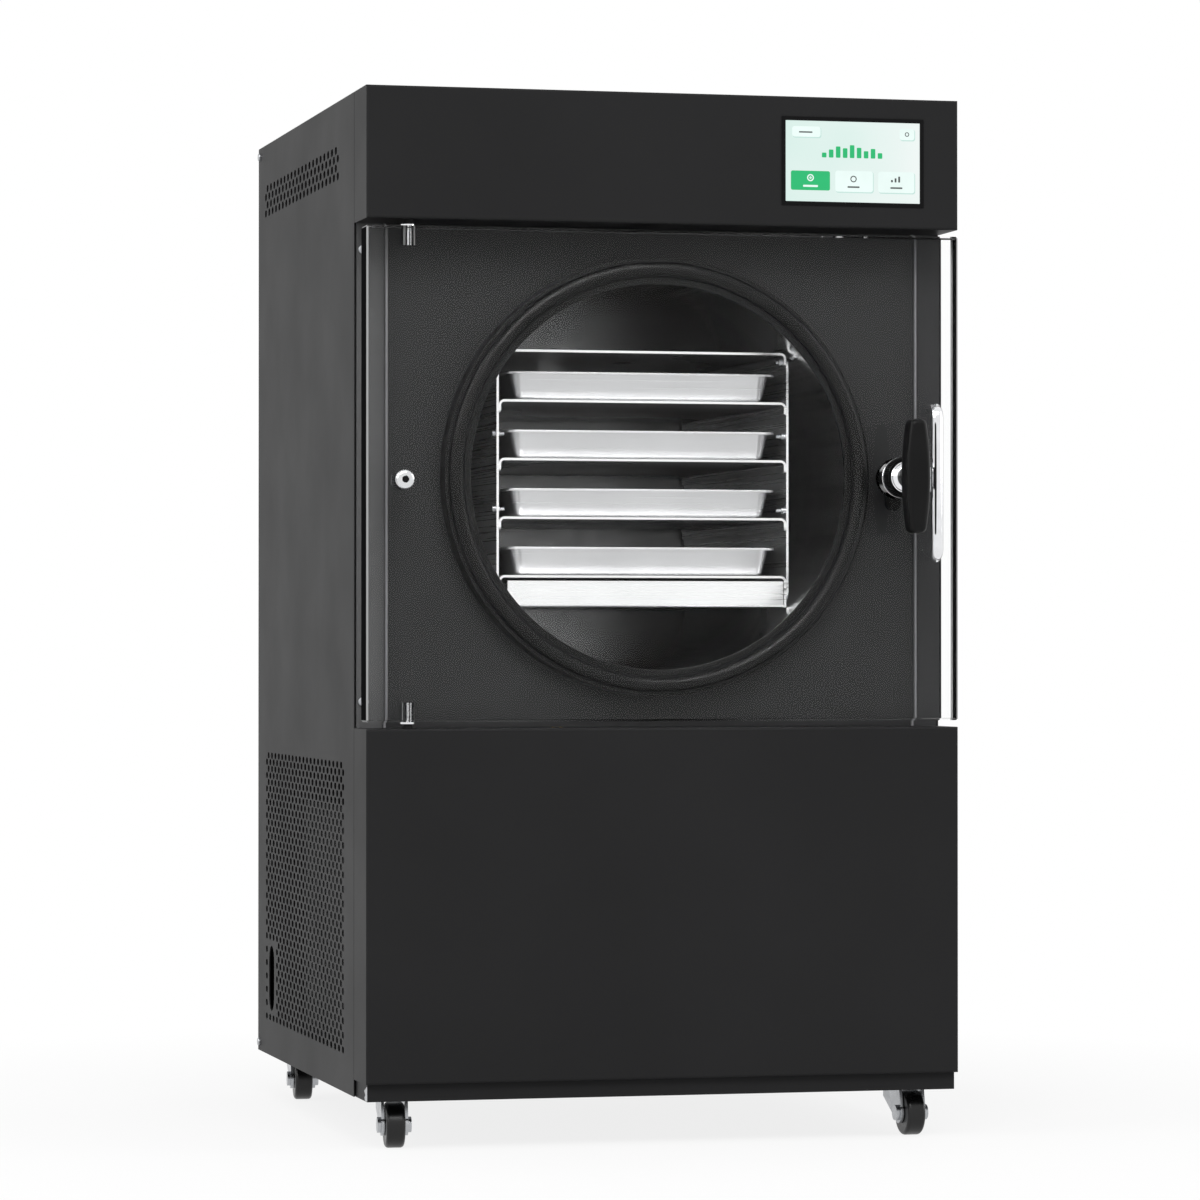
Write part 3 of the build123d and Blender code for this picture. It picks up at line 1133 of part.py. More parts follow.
def drain_valve():
    """Drain tube from the chamber floor to a ball valve behind the rear panel."""
    top = CENTRE_Z - CHAMBER_OUTER_RADIUS
    points = [(0, DRAIN_Y, top), (0, DRAIN_Y, DRAIN_Z), (0, REAR_Y + REAR_REACH, DRAIN_Z)]
    valve = tube_along(points, DRAIN_BEND_RADIUS, DRAIN_RADIUS)
    valve += rod_y(VALVE_RADIUS, REAR_Y + VALVE_START, REAR_Y + VALVE_START + VALVE_LENGTH, 0, DRAIN_Z)
    valve += rod_z(VALVE_STEM_RADIUS, DRAIN_Z, VALVE_STEM_TOP, 0, VALVE_Y)
    spigot = rod_y(DRAIN_BORE_RADIUS, VALVE_Y + VALVE_SEAT, REAR_Y + REAR_REACH + SHEET, 0, DRAIN_Z)
    inlet = rod_z(DRAIN_BORE_RADIUS, DRAIN_Z + DRAIN_BEND_RADIUS, top + SHEET, 0, DRAIN_Y)
    return valve - spigot - inlet


def drain_lever():
    z0 = DRAIN_Z + VALVE_RADIUS + SEAT_GAP
    z1 = VALVE_STEM_TOP
    lever = rod_z(LEVER_COLLAR_RADIUS, z0, z1, 0, VALVE_Y)
    half = LEVER_WIDTH / 2
    arm = block(0, LEVER_LENGTH, VALVE_Y - half, VALVE_Y + half, z1 - LEVER_THICKNESS, z1)
    arm = fillet(arm.edges().filter_by(Axis.Z).group_by(Axis.X)[-1], LEVER_END_RADIUS)
    lever += arm
    return lever - rod_z(VALVE_STEM_RADIUS + RUNNING_CLEARANCE, z0 - SHEET, z1 + SHEET, 0, VALVE_Y)


def power_inlet():
    """Panel socket for a mains lead, with three blades in its cavity."""
    half_w = INLET_WIDTH / 2
    half_h = INLET_HEIGHT / 2
    y0 = REAR_Y - INLET_DEPTH
    body = block(INLET_X - half_w, INLET_X + half_w, y0, REAR_Y, INLET_Z - half_h, INLET_Z + half_h)
    margin = INLET_FLANGE_MARGIN
    body += block(
        INLET_X - half_w - margin, INLET_X + half_w + margin, REAR_Y, REAR_Y + INLET_FLANGE,
        INLET_Z - half_h - margin, INLET_Z + half_h + margin,
    )
    floor_y = REAR_Y + INLET_FLANGE - INLET_CAVITY
    body -= block(
        INLET_X - half_w + INLET_WALL, INLET_X + half_w - INLET_WALL, floor_y, REAR_Y + 2 * INLET_FLANGE,
        INLET_Z - half_h + INLET_WALL, INLET_Z + half_h - INLET_WALL,
    )
    blade_length = REAR_Y - INLET_BLADE_SETBACK - floor_y
    for x, z in INLET_BLADES:
        blade = Box(INLET_BLADE_WIDTH, blade_length, INLET_BLADE_HEIGHT)
        body += Pos(INLET_X + x, floor_y + blade_length / 2, INLET_Z + z) * blade
    return body


# ---------------------------------------------------------------------------
# Every node and its shape
# ---------------------------------------------------------------------------

def cabinet_nodes():
    return {
        "base_pan": base_pan(),
        "side_panel_left": side_panel(-1),
        "side_panel_right": side_panel(1),
        "rear_panel": rear_panel(),
        "top_panel": top_panel(),
        "header_panel": header_panel(),
        "lower_front_panel": lower_front_panel(),
        "front_post_left": front_post(-1),
        "front_post_right": front_post(1),
        "chamber_front_plate": chamber_front_plate(),
        "cabinet_screws": cabinet_screws(),
        "display_bezel": display_bezel(),
        "display_screen": display_screen(),
        "control_board": control_board(),
    }


def chamber_nodes():
    nodes = {
        "chamber_shell": chamber_shell(),
        "chamber_gasket": chamber_gasket(),
        "cooling_coil": cooling_coil(),
        "chamber_insulation": chamber_insulation(),
        "rack_top_plate": rack_top_plate(),
        "rack_side_left": rack_side(-1),
        "rack_side_right": rack_side(1),
        "rack_base": rack_base(),
        "rack_screws": rack_screws(),
    }
    for index in range(SHELF_COUNT):
        nodes[f"rack_shelf_{index + 1}"] = rack_shelf(index)
        nodes[f"tray_{index + 1}"] = tray(index)
    return nodes


def door_nodes():
    return {
        "door_panel": door_panel(),
        "hinge_bushings": hinge_bushings(),
        "hinge_brackets": hinge_brackets(),
        "hinge_side_bolt": hinge_side_bolt(),
        "grab_handle": grab_handle(),
        "latch_hub": latch_hub(),
        "latch_spindle": latch_spindle(),
        "latch_knob": latch_knob(),
        "latch_keeper": latch_keeper(),
    }


def caster_nodes():
    nodes = {"caster_plates": caster_plates()}
    fork = caster_fork()
    wheel = caster_wheel()
    for name, x, y, heading in CASTERS:
        place = Pos(x, y, 0) * Rot(0, 0, heading)
        nodes[f"caster_fork_{name}"] = place * fork
        nodes[f"caster_wheel_{name}"] = place * wheel
    return nodes


def service_nodes():
    return {
        "compressor": compressor(),
        "compressor_grommets": compressor_grommets(),
        "condenser": condenser(),
        "fan_shroud": fan_shroud(),
        "fan_motor": fan_motor(),
        "fan_rotor": fan_rotor(),
        "refrigerant_lines": refrigerant_lines(),
        "vacuum_port": vacuum_port(),
        "drain_valve": drain_valve(),
        "drain_lever": drain_lever(),
        "power_inlet": power_inlet(),
    }


def write_nodes():
    os.makedirs("parts", exist_ok=True)
    groups = (cabinet_nodes, chamber_nodes, door_nodes, caster_nodes, service_nodes)
    for make_group in groups:
        for name, shape in make_group().items():
            export_step(shape, f"parts/{name}.step")


write_nodes()
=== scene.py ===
import json
import math

import bmesh
import bpy
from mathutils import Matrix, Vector
from mathutils.geometry import delaunay_2d_cdt


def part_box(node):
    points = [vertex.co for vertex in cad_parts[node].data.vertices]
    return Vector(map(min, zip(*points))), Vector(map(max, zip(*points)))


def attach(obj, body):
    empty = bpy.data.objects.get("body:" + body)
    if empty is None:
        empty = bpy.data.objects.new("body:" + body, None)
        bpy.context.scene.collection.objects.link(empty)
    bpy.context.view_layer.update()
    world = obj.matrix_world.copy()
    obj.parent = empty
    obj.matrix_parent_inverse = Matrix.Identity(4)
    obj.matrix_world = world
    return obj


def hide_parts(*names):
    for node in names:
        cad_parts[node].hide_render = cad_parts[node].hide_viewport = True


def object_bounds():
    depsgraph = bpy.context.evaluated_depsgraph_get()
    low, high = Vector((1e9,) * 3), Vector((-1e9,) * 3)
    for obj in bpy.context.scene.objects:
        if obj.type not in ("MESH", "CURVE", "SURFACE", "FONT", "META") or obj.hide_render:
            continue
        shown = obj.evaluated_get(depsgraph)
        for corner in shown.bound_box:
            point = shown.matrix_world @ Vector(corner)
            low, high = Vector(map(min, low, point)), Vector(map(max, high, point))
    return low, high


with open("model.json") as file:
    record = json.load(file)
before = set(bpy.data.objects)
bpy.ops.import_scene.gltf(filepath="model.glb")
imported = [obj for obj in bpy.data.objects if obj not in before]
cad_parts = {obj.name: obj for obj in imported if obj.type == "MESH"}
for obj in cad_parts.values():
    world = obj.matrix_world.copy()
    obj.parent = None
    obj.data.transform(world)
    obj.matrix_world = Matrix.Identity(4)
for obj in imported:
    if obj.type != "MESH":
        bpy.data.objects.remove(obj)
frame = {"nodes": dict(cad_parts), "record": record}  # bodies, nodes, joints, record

# ---------------------------------------------------------------------------
# Freeze dryer. Metres, +Z up, front towards -Y, the same frame as the CAD.
# ---------------------------------------------------------------------------

CAD_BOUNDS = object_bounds()
MM = 0.001

# How finely curved meshes are cut, and the angle in degrees past which an edge stays sharp
VENT_ARC_STEPS = 6
CORNER_STEPS = 6
LATHE_SEGMENTS = 96
RING_SEGMENTS = 32
SHARP_ANGLE = 32
MERGE_DISTANCE = 1e-7

# Sheet and vent slots of the side panels
SIDE_SHEET = 1.0 * MM
VENT_LENGTH = 10.0 * MM
VENT_HEIGHT = 6.6 * MM
VENT_COLUMN_PITCH = 18.2 * MM
UPPER_VENT_START = 76.0 * MM
UPPER_VENT_TOP_DROP = 40.9 * MM
UPPER_VENT_ROW_PITCH = 7.5 * MM
UPPER_VENT_COLUMNS = 21
UPPER_VENT_ROWS = 4
LOWER_VENT_START = 50.0 * MM
LOWER_VENT_RISE = 35.0 * MM
LOWER_VENT_HEIGHT = 5.6 * MM
LOWER_VENT_ROW_PITCH = 6.15 * MM
LOWER_VENT_COLUMNS = 22
LOWER_VENT_ROWS = 40
HOSE_SLOT_WIDTH = 27.0 * MM
HOSE_SLOT_HEIGHT = 60.0 * MM
HOSE_SLOT_BEHIND = 406.0 * MM
HOSE_SLOT_RISE = 71.0 * MM
HOSE_SLOT_MARGIN = 4.0 * MM

# Latch fittings. The collar's shape is in shares of its radius and length, from the front.
BORE_RADIUS = 6.1 * MM
SPINDLE_RADIUS = 6.0 * MM
SPINDLE_CORE_RADIUS = 0.3 * MM
HUB_NUT_LENGTH = 14.5 * MM
HUB_NUT_RADIUS = 17.2 * MM
HUB_BARREL_RADIUS = 15.4 * MM
HUB_RIM_RADIUS = 13.2 * MM
HUB_RING = 1.3 * MM
HUB_NUT_TAPER = 5.0 * MM
HUB_WASHER = 3.0 * MM
HUB_RIBS = 56
HUB_RIB_DEPTH = 0.05
COLLAR_RADIUS = 12.4 * MM
COLLAR_LENGTH = 4.8 * MM
COLLAR_GAP = 0.3 * MM
COLLAR_SHAPE = ((0.72, 0.0), (0.8, 0.1), (0.97, 0.62), (1.0, 0.72), (1.0, 1.0))
PAWL_GAP = 3.3 * MM
PAWL_THICKNESS = 4.0 * MM
PAWL_HALF_WIDTH = 6.5 * MM
PAWL_CORNER = 6.4935 * MM
PAWL_REACH = 21.0 * MM

# Dark hexagon in the socket of the door's hinge-side bolt, painted shade in the recess
BOLT_HEX_RADIUS = 3.1 * MM
BOLT_HEX_DEPTH = 0.9 * MM
BOLT_HEX_THICKNESS = 1.6 * MM

# Folded edges of the chamber's front plate, and the bare corner of the base pan
PLATE_EDGE_WIDTH = 1.8 * MM
PLATE_EDGE_DEPTH = 2.6 * MM
PAN_WEAR_LIFT = 0.15 * MM
PAN_WEAR_OUTLINE = (
    (0.4, 0.5), (9.5, 0.4), (12.0, 3.2), (8.2, 5.1),
    (13.0, 8.6), (7.4, 10.4), (3.2, 12.4), (0.5, 12.2),
)

# Marks on the screen. Places are shares of its width and height: left, right, bottom, top.
SCREEN_LAYER = 0.08 * MM
SCREEN_INKS = ("shade_ink", "pale_ink", "green_ink", "dark_ink")
SCREEN_TILES = (
    (0.37, 0.65, 0.13, 0.39),
    (0.69, 0.96, 0.13, 0.39),
    (0.05, 0.26, 0.8, 0.93),
    (0.85, 0.96, 0.79, 0.93),
)
TILE_CORNER = 2.2
TILE_SHADE = (0.004, 0.006, -0.014, -0.006)
GREEN_TILE = (0.04, 0.33, 0.14, 0.38)
GREEN_TILE_CORNER = 1.6
# A chart of upright bars: left end, pitch, width, foot, corner in mm, and each bar's height
CHART_LEFT = 0.27
CHART_PITCH = 0.052
CHART_BAR = 0.034
CHART_FOOT = 0.55
CHART_CORNER = 0.7
CHART_HEIGHTS = (0.06, 0.1, 0.14, 0.12, 0.16, 0.13, 0.09, 0.12, 0.07)
# A sign of three growing bars on the right tile
SIGN_LEFT = 0.785
SIGN_PITCH = 0.027
SIGN_BAR = 0.014
SIGN_FOOT = 0.26
SIGN_TOP = 0.29
SIGN_STEP = 0.022
SIGN_CORNER = 0.4
SIGN_BARS = 3
# Short lines on the tiles: ink, place, corner in mm
SCREEN_LINES = (
    ("pale_ink", (0.13, 0.24, 0.18, 0.205), 0.6),
    ("dark_ink", (0.46, 0.55, 0.18, 0.2), 0.5),
    ("dark_ink", (0.78, 0.87, 0.18, 0.2), 0.5),
    ("dark_ink", (0.1, 0.2, 0.85, 0.868), 0.5),
)
# Rings on the tiles: ink, centre, outer and inner radius in mm
SCREEN_RINGS = (
    ("pale_ink", (0.185, 0.295), 3.0, 2.0),
    ("pale_ink", (0.185, 0.295), 1.0, 0.3),
    ("dark_ink", (0.505, 0.29), 2.8, 1.9),
    ("dark_ink", (0.905, 0.86), 1.9, 1.2),
)

# Finished materials by name: one for each slot of the record, and those of added pieces
LOOKS = {}

# Camera: metres, degrees, and millimetres of lens and sensor
CAMERA_PLACE = (-0.991264, -4.110444, 0.41830)
CAMERA_TILT = 90.528
CAMERA_TURN = -13.639
CAMERA_LENS = 142.78
CAMERA_SENSOR = 36.0
CAMERA_REACH = 60.0

# Floor: its size, the distances between which it fades to plain white, and its share of white nearer in
FLOOR_RADIUS = 14.0
FLOOR_SEGMENTS = 96
FADE_FROM = 0.4
FADE_TO = 1.0
FADE_NEAR_SHARE = 0.84

# Lamps: name, place, width and height, watts
LAMP_TARGET = (0.0, 0.0, 0.5)
LAMPS = (
    ("key_left", (-3.2, -1.0, 2.2), (2.2, 2.2), 46.0),
    ("high_front", (-0.6, -3.0, 3.2), (2.6, 1.6), 84.0),
    ("right_fill", (3.0, -1.2, 1.6), (1.6, 2.0), 25.0),
)

# Strength of the white room for light on surfaces, and for what is seen or mirrored
ROOM_LIGHT = 0.55
ROOM_SEEN = 1.0


# ---------------------------------------------------------------------------
# Material building
# ---------------------------------------------------------------------------

class Look:
    """A material under construction around one Principled shader, in object coordinates."""

    def __init__(self, name):
        self.material = bpy.data.materials.new(name)
        self.material.use_nodes = True
        self.tree = self.material.node_tree
        self.shader = self.tree.nodes["Principled BSDF"]
        self.coords = self.tree.nodes.new("ShaderNodeTexCoord").outputs["Object"]

    def add(self, kind, **settings):
        node = self.tree.nodes.new("ShaderNode" + kind)
        for key, value in settings.items():
            setattr(node, key, value)
        return node

    def link(self, source, target):
        self.tree.links.new(source, target)

    def fixed(self, **sockets):
        """Set plain values on the shader: base_color becomes "Base Color"."""
        for key, value in sockets.items():
            self.shader.inputs[key.replace("_", " ").title().replace("Ior", "IOR")].default_value = value
        return self

    def stretched(self, scale):
        mapping = self.add("Mapping")
        mapping.inputs["Scale"].default_value = scale
        self.link(self.coords, mapping.inputs["Vector"])
        return mapping.outputs["Vector"]

    def noise(self, scale, detail=3.0, vector=None):
        node = self.add("TexNoise")
        node.inputs["Scale"].default_value = scale
        node.inputs["Detail"].default_value = detail
        self.link(vector or self.coords, node.inputs["Vector"])
        return node.outputs["Fac"]

    def spread(self, value, low, high, start=0.3, end=0.7):
        """Turn a value between start and end into one between low and high."""
        node = self.add("MapRange")
        node.inputs["From Min"].default_value = start
        node.inputs["From Max"].default_value = end
        node.inputs["To Min"].default_value = low
        node.inputs["To Max"].default_value = high
        self.link(value, node.inputs["Value"])
        return node.outputs["Result"]

    def ramp(self, value, stops):
        node = self.add("ValToRGB")
        elements = node.color_ramp.elements
        while len(elements) < len(stops):
            elements.new(0.5)
        for element, (position, color) in zip(elements, stops):
            element.position = position
            element.color = (*color, 1.0)
        self.link(value, node.inputs["Fac"])
        return node.outputs["Color"]

    def mixed(self, factor, first, second, blend="MIX"):
        node = self.add("Mix", data_type="RGBA", blend_type=blend)
        for socket, value in ((node.inputs[0], factor), (node.inputs[6], first), (node.inputs[7], second)):
            if isinstance(value, bpy.types.NodeSocket):
                self.link(value, socket)
            else:
                socket.default_value = value
        return node.outputs[2]

    def maths(self, operation, first, second):
        node = self.add("Math", operation=operation)
        for socket, value in zip(node.inputs, (first, second)):
            if isinstance(value, bpy.types.NodeSocket):
                self.link(value, socket)
            else:
                socket.default_value = value
        return node.outputs["Value"]

    def color(self, value):
        self.link(value, self.shader.inputs["Base Color"])

    def roughness(self, value):
        self.link(value, self.shader.inputs["Roughness"])

    def bump(self, height, distance, strength):
        node = self.add("Bump")
        node.inputs["Distance"].default_value = distance
        node.inputs["Strength"].default_value = strength
        self.link(height, node.inputs["Height"])
        self.link(node.outputs["Normal"], self.shader.inputs["Normal"])


def shade(color, factor):
    return tuple(min(1.0, channel * factor) for channel in color[:3])


def drifting(look, color, spread, scale):
    """Base colour that drifts by a small share of itself over the surface."""
    stops = [(0.3, shade(color, 1 - spread)), (0.7, shade(color, 1 + spread))]
    look.color(look.ramp(look.noise(scale, 4.0), stops))


def powder_coat(name, color, roughness, gloss, far=None):
    """Sprayed coating. Where far is given, its colour goes over to far towards the object's right, painted
    light and shade that leaves the left lighter and the right darker.
    """
    look = Look(name).fixed(specular_ior_level=gloss)
    if far:
        # Painted light and shade: the colour darkens from the object's left to its right
        place = look.add("SeparateXYZ")
        look.link(look.coords, place.inputs["Vector"])
        across = look.spread(place.outputs["X"], 0.0, 1.0, CAD_BOUNDS[0].x, CAD_BOUNDS[1].x)
        cloud = look.spread(look.noise(5.0, 4.0), -0.05, 0.05)
        look.color(look.ramp(look.maths("ADD", across, cloud), [(0.0, color), (1.0, far)]))
    else:
        drifting(look, color, 0.07, 5.0)
    look.roughness(look.spread(look.noise(11.0, 5.0), roughness - 0.02, roughness + 0.03))
    look.bump(look.noise(1500.0, 2.0), 0.000006, 0.4)
    return look.material


def moulded(name, color, roughness, grain=0.00002, gloss=0.45):
    look = Look(name).fixed(specular_ior_level=gloss)
    drifting(look, color, 0.18, 30.0)
    look.roughness(look.spread(look.noise(60.0, 4.0), roughness - 0.06, roughness + 0.08))
    look.bump(look.noise(2200.0, 2.0), grain, 0.6)
    return look.material


def brushed(name, color, roughness, along, depth, inner):
    """Metal with fine lines along one axis, whose colour is darkened to the share inner towards the
    chamber's far end as painted shade.
    """
    look = Look(name).fixed(metallic=1.0)
    lines = look.noise(1.0, 3.0, look.stretched(along))
    look.roughness(look.spread(lines, roughness - 0.05, roughness + 0.08))
    low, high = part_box("chamber_shell")
    place = look.add("SeparateXYZ")
    look.link(look.coords, place.inputs["Vector"])
    # Painted shade: from a quarter to half of the chamber's depth the colour falls to the share inner
    painted_depth_shade = look.spread(place.outputs["Y"], 1.0, inner, (3 * low.y + high.y) / 4, (low.y + high.y) / 2)
    plain_tone = look.ramp(look.noise(14.0, 4.0), [(0.3, shade(color, 0.96)), (0.7, shade(color, 1.04))])
    look.color(look.mixed(1.0, plain_tone, painted_depth_shade, "MULTIPLY"))
    look.bump(lines, depth, 0.35)
    return look.material


def plated(name, color, roughness, spread=0.08, depth=0.00001):
    look = Look(name).fixed(metallic=1.0)
    drifting(look, color, spread, 70.0)
    look.roughness(look.spread(look.noise(120.0, 4.0), max(0.02, roughness - 0.04), roughness + 0.07))
    look.bump(look.noise(900.0, 2.0), depth, 0.4)
    return look.material


def clear_slab(name, color, ior, gloss, edge, bevel):
    """Clear plastic that lets lamp light through. Its left and right edge faces are painted dark as painted
    shade, and the bevels beside them are painted pale as a painted highlight.
    """
    look = Look(name).fixed(
        base_color=(*color, 1.0), transmission_weight=1.0, ior=ior, roughness=0.0,
        specular_tint=(gloss, gloss, gloss, 1.0),
    )
    drifting(look, color, 0.006, 4.0)
    path = look.add("LightPath")
    clear = look.add("BsdfTransparent")
    lit = look.add("MixShader")
    look.link(path.outputs["Is Shadow Ray"], lit.inputs[0])
    look.link(look.shader.outputs["BSDF"], lit.inputs[1])
    look.link(clear.outputs["BSDF"], lit.inputs[2])
    # Painted shade: plain dark diffuse on the faces turned to the left or right
    painted_edge_shade = look.add("BsdfDiffuse")
    painted_edge_shade.inputs["Color"].default_value = (*edge, 1.0)
    parts = look.add("SeparateXYZ")
    look.link(look.tree.nodes["Texture Coordinate"].outputs["Normal"], parts.inputs["Vector"])
    turned = look.maths("MULTIPLY", parts.outputs["X"], parts.outputs["X"])
    # Painted highlight: pale diffuse on the bevels that lean to the left or right
    painted_bevel_highlight = look.add("BsdfDiffuse")
    painted_bevel_highlight.inputs["Color"].default_value = (*bevel, 1.0)
    cut = look.add("MixShader")
    look.link(look.spread(turned, 0.0, 1.0, 0.35, 0.45), cut.inputs[0])
    look.link(lit.outputs["Shader"], cut.inputs[1])
    look.link(painted_bevel_highlight.outputs["BSDF"], cut.inputs[2])
    mix = look.add("MixShader")
    look.link(look.spread(turned, 0.0, 1.0, 0.8, 0.9), mix.inputs[0])
    look.link(cut.outputs["Shader"], mix.inputs[1])
    look.link(painted_edge_shade.outputs["BSDF"], mix.inputs[2])
    look.link(mix.outputs["Shader"], look.tree.nodes["Material Output"].inputs["Surface"])
    return look.material


def lit_display(name, low, high, left, right):
    """Backlit panel: a pale mint field that clears to white across its width."""
    look = Look(name).fixed(base_color=(0.02, 0.02, 0.02, 1.0), roughness=0.12, emission_strength=0.92)
    parts = look.add("SeparateXYZ")
    look.link(look.coords, parts.inputs["Vector"])
    across = look.spread(parts.outputs["X"], 0.0, 1.0, left, right)
    cloud = look.spread(look.noise(16.0, 1.0), -0.25, 0.25, 0.25, 0.75)
    place = look.maths("ADD", across, cloud)
    look.link(look.ramp(place, [(0.0, low), (1.0, high)]), look.shader.inputs["Emission Color"])
    return look.material


def lit_ink(name, color):
    look = Look(name).fixed(base_color=(*shade(color, 0.1), 1.0), roughness=0.2, emission_strength=0.9)
    stops = [(0.3, shade(color, 0.96)), (0.7, shade(color, 1.04))]
    look.link(look.ramp(look.noise(40.0, 2.0), stops), look.shader.inputs["Emission Color"])
    return look.material


def circuit(name, color, track):
    """Lacquered board: darker ground crossed by paler tracks."""
    look = Look(name).fixed(roughness=0.28)
    bricks = look.add("TexVoronoi", distance="CHEBYCHEV", feature="DISTANCE_TO_EDGE")
    bricks.inputs["Scale"].default_value = 160.0
    look.link(look.coords, bricks.inputs["Vector"])
    edge = look.spread(bricks.outputs["Distance"], 1.0, 0.0, 0.04, 0.1)
    look.color(look.mixed(edge, (*color, 1.0), (*track, 1.0)))
    look.bump(edge, 0.00005, 0.4)
    return look.material


def foam_skin(name, color):
    look = Look(name).fixed(roughness=0.9, specular_ior_level=0.2)
    drifting(look, color, 0.15, 22.0)
    cells = look.add("TexVoronoi")
    cells.inputs["Scale"].default_value = 420.0
    look.link(look.coords, cells.inputs["Vector"])
    look.bump(cells.outputs["Distance"], 0.0004, 0.6)
    return look.material


def finned(name, color, pitch):
    """Stacked thin fins seen edge on, with painted shade in the gaps between them."""
    look = Look(name).fixed(metallic=1.0, roughness=0.35)
    wave = look.add("TexWave", bands_direction="Y")
    wave.inputs["Scale"].default_value = math.tau / (20.0 * pitch)
    look.link(look.coords, wave.inputs["Vector"])
    # Painted shade: the darker bands stand for the gaps between fins
    look.color(look.ramp(wave.outputs["Fac"], [(0.2, shade(color, 0.35)), (0.8, color)]))
    look.bump(wave.outputs["Fac"], 0.0004, 0.7)
    return look.material


def make_materials():
    """Finished materials by name: one for each slot of the record, and those of added pieces."""
    low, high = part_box("display_screen")
    return {
        "black_sheet": powder_coat("black_sheet", (0.018, 0.018, 0.0185), 0.42, 0.035),
        "plate_paint": powder_coat("plate_paint", (0.016, 0.016, 0.0165), 0.42, 0.2),
        # post_paint is painted lighter on the left posts and darker on the right ones, a painted light and
        # shade
        "post_paint": powder_coat("post_paint", (0.075, 0.075, 0.076), 0.42, 0.15, (0.022, 0.022, 0.023)),
        # The acrylic's dark edge colour is painted shade and its pale bevel colour a painted highlight
        "clear_acrylic": clear_slab(
            "clear_acrylic", (0.985, 0.99, 0.988), 1.49, 0.12, (0.006, 0.006, 0.0062), (0.3, 0.3, 0.3),
        ),
        "gasket_rubber": moulded("gasket_rubber", (0.0016, 0.0016, 0.0017), 0.35, 0.0000005, 0.2),
        # The last number of each brushed steel is the share its colour is darkened to deep in the chamber,
        # a painted shade
        "chamber_steel": brushed(
            "chamber_steel", (0.8, 0.8, 0.805), 0.17, (60.0, 2.0, 60.0), 0.000001, 0.2,
        ),
        "rack_steel": brushed("rack_steel", (0.93, 0.93, 0.935), 0.28, (3.0, 3.0, 900.0), 0.0000004, 0.4),
        "tray_steel": brushed("tray_steel", (0.66, 0.66, 0.67), 0.32, (3.0, 3.0, 900.0), 0.0000004, 0.8),
        "zinc": plated("zinc", (0.42, 0.43, 0.445), 0.28, 0.1),
        "caster_rubber": moulded("caster_rubber", (0.004, 0.004, 0.0042), 0.3, 0.00001, 0.35),
        "chrome": plated("chrome", (0.8, 0.805, 0.82), 0.06, 0.05, 0.000001),
        "black_plastic": moulded("black_plastic", (0.0022, 0.0022, 0.0023), 0.34, 0.000004, 0.15),
        "bolt_steel": plated("bolt_steel", (0.7, 0.71, 0.72), 0.16, 0.05),
        "bezel_plastic": moulded("bezel_plastic", (0.002, 0.002, 0.0022), 0.3, 0.000004, 0.1),
        "screen": lit_display("screen", (0.7, 0.89, 0.83), (0.88, 0.95, 0.93), low.x, high.x),
        "circuit_board": circuit("circuit_board", (0.012, 0.11, 0.05), (0.04, 0.22, 0.1)),
        "copper": plated("copper", (0.83, 0.42, 0.27), 0.24, 0.16),
        "foam": foam_skin("foam", (0.02, 0.02, 0.021)),
        "compressor_paint": moulded("compressor_paint", (0.012, 0.012, 0.0125), 0.24),
        "fin_aluminium": finned("fin_aluminium", (0.03, 0.03, 0.032), 2.2 * MM),
        "fan_plastic": moulded("fan_plastic", (0.02, 0.02, 0.021), 0.5),
        "motor_metal": plated("motor_metal", (0.35, 0.35, 0.36), 0.4),
        "valve_brass": plated("valve_brass", (0.82, 0.6, 0.26), 0.22, 0.1),
        # Pale coat of the plate's folded edges, a painted highlight
        "painted_edge_highlight": powder_coat("painted_edge_highlight", (0.13, 0.13, 0.135), 0.34, 0.4),
        "green_ink": lit_ink("green_ink", (0.003, 0.47, 0.15)),
        "pale_ink": lit_ink("pale_ink", (0.8, 0.93, 0.895)),
        "shade_ink": lit_ink("shade_ink", (0.52, 0.73, 0.67)),
        "dark_ink": lit_ink("dark_ink", (0.07, 0.08, 0.08)),
    }


def dress_cad_nodes():
    for row in frame["record"]["subparts"]:
        mesh = frame["nodes"][row["node"]].data
        mesh.materials.clear()
        mesh.materials.append(LOOKS[row["material_slot"]])


# ---------------------------------------------------------------------------
# Mesh building
# ---------------------------------------------------------------------------

def piece_from_mesh(bm, name, body, slot, smooth=False, look=None):
    """Turn a bmesh into a piece that rides on a CAD body, with the look of its slot or another one."""
    bmesh.ops.recalc_face_normals(bm, faces=bm.faces)
    mesh = bpy.data.meshes.new(name)
    bm.to_mesh(mesh)
    bm.free()
    for polygon in mesh.polygons:
        polygon.use_smooth = smooth
    if smooth:
        mesh.set_sharp_from_angle(angle=math.radians(SHARP_ANGLE))
    piece = bpy.data.objects.new(name, mesh)
    bpy.context.scene.collection.objects.link(piece)
    mesh.materials.append(LOOKS[look or slot])
    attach(piece, body)
    return piece


def obround(centre, length, height):
    """Points round a slot that lies along the first axis."""
    radius = height / 2
    reach = (length - height) / 2
    points = []
    for end, start in ((1, -math.pi / 2), (-1, math.pi / 2)):
        middle = centre[0] + end * reach
        for step in range(VENT_ARC_STEPS + 1):
            angle = start + math.pi * step / VENT_ARC_STEPS
            points.append((middle + radius * math.cos(angle), centre[1] + radius * math.sin(angle)))
    return points


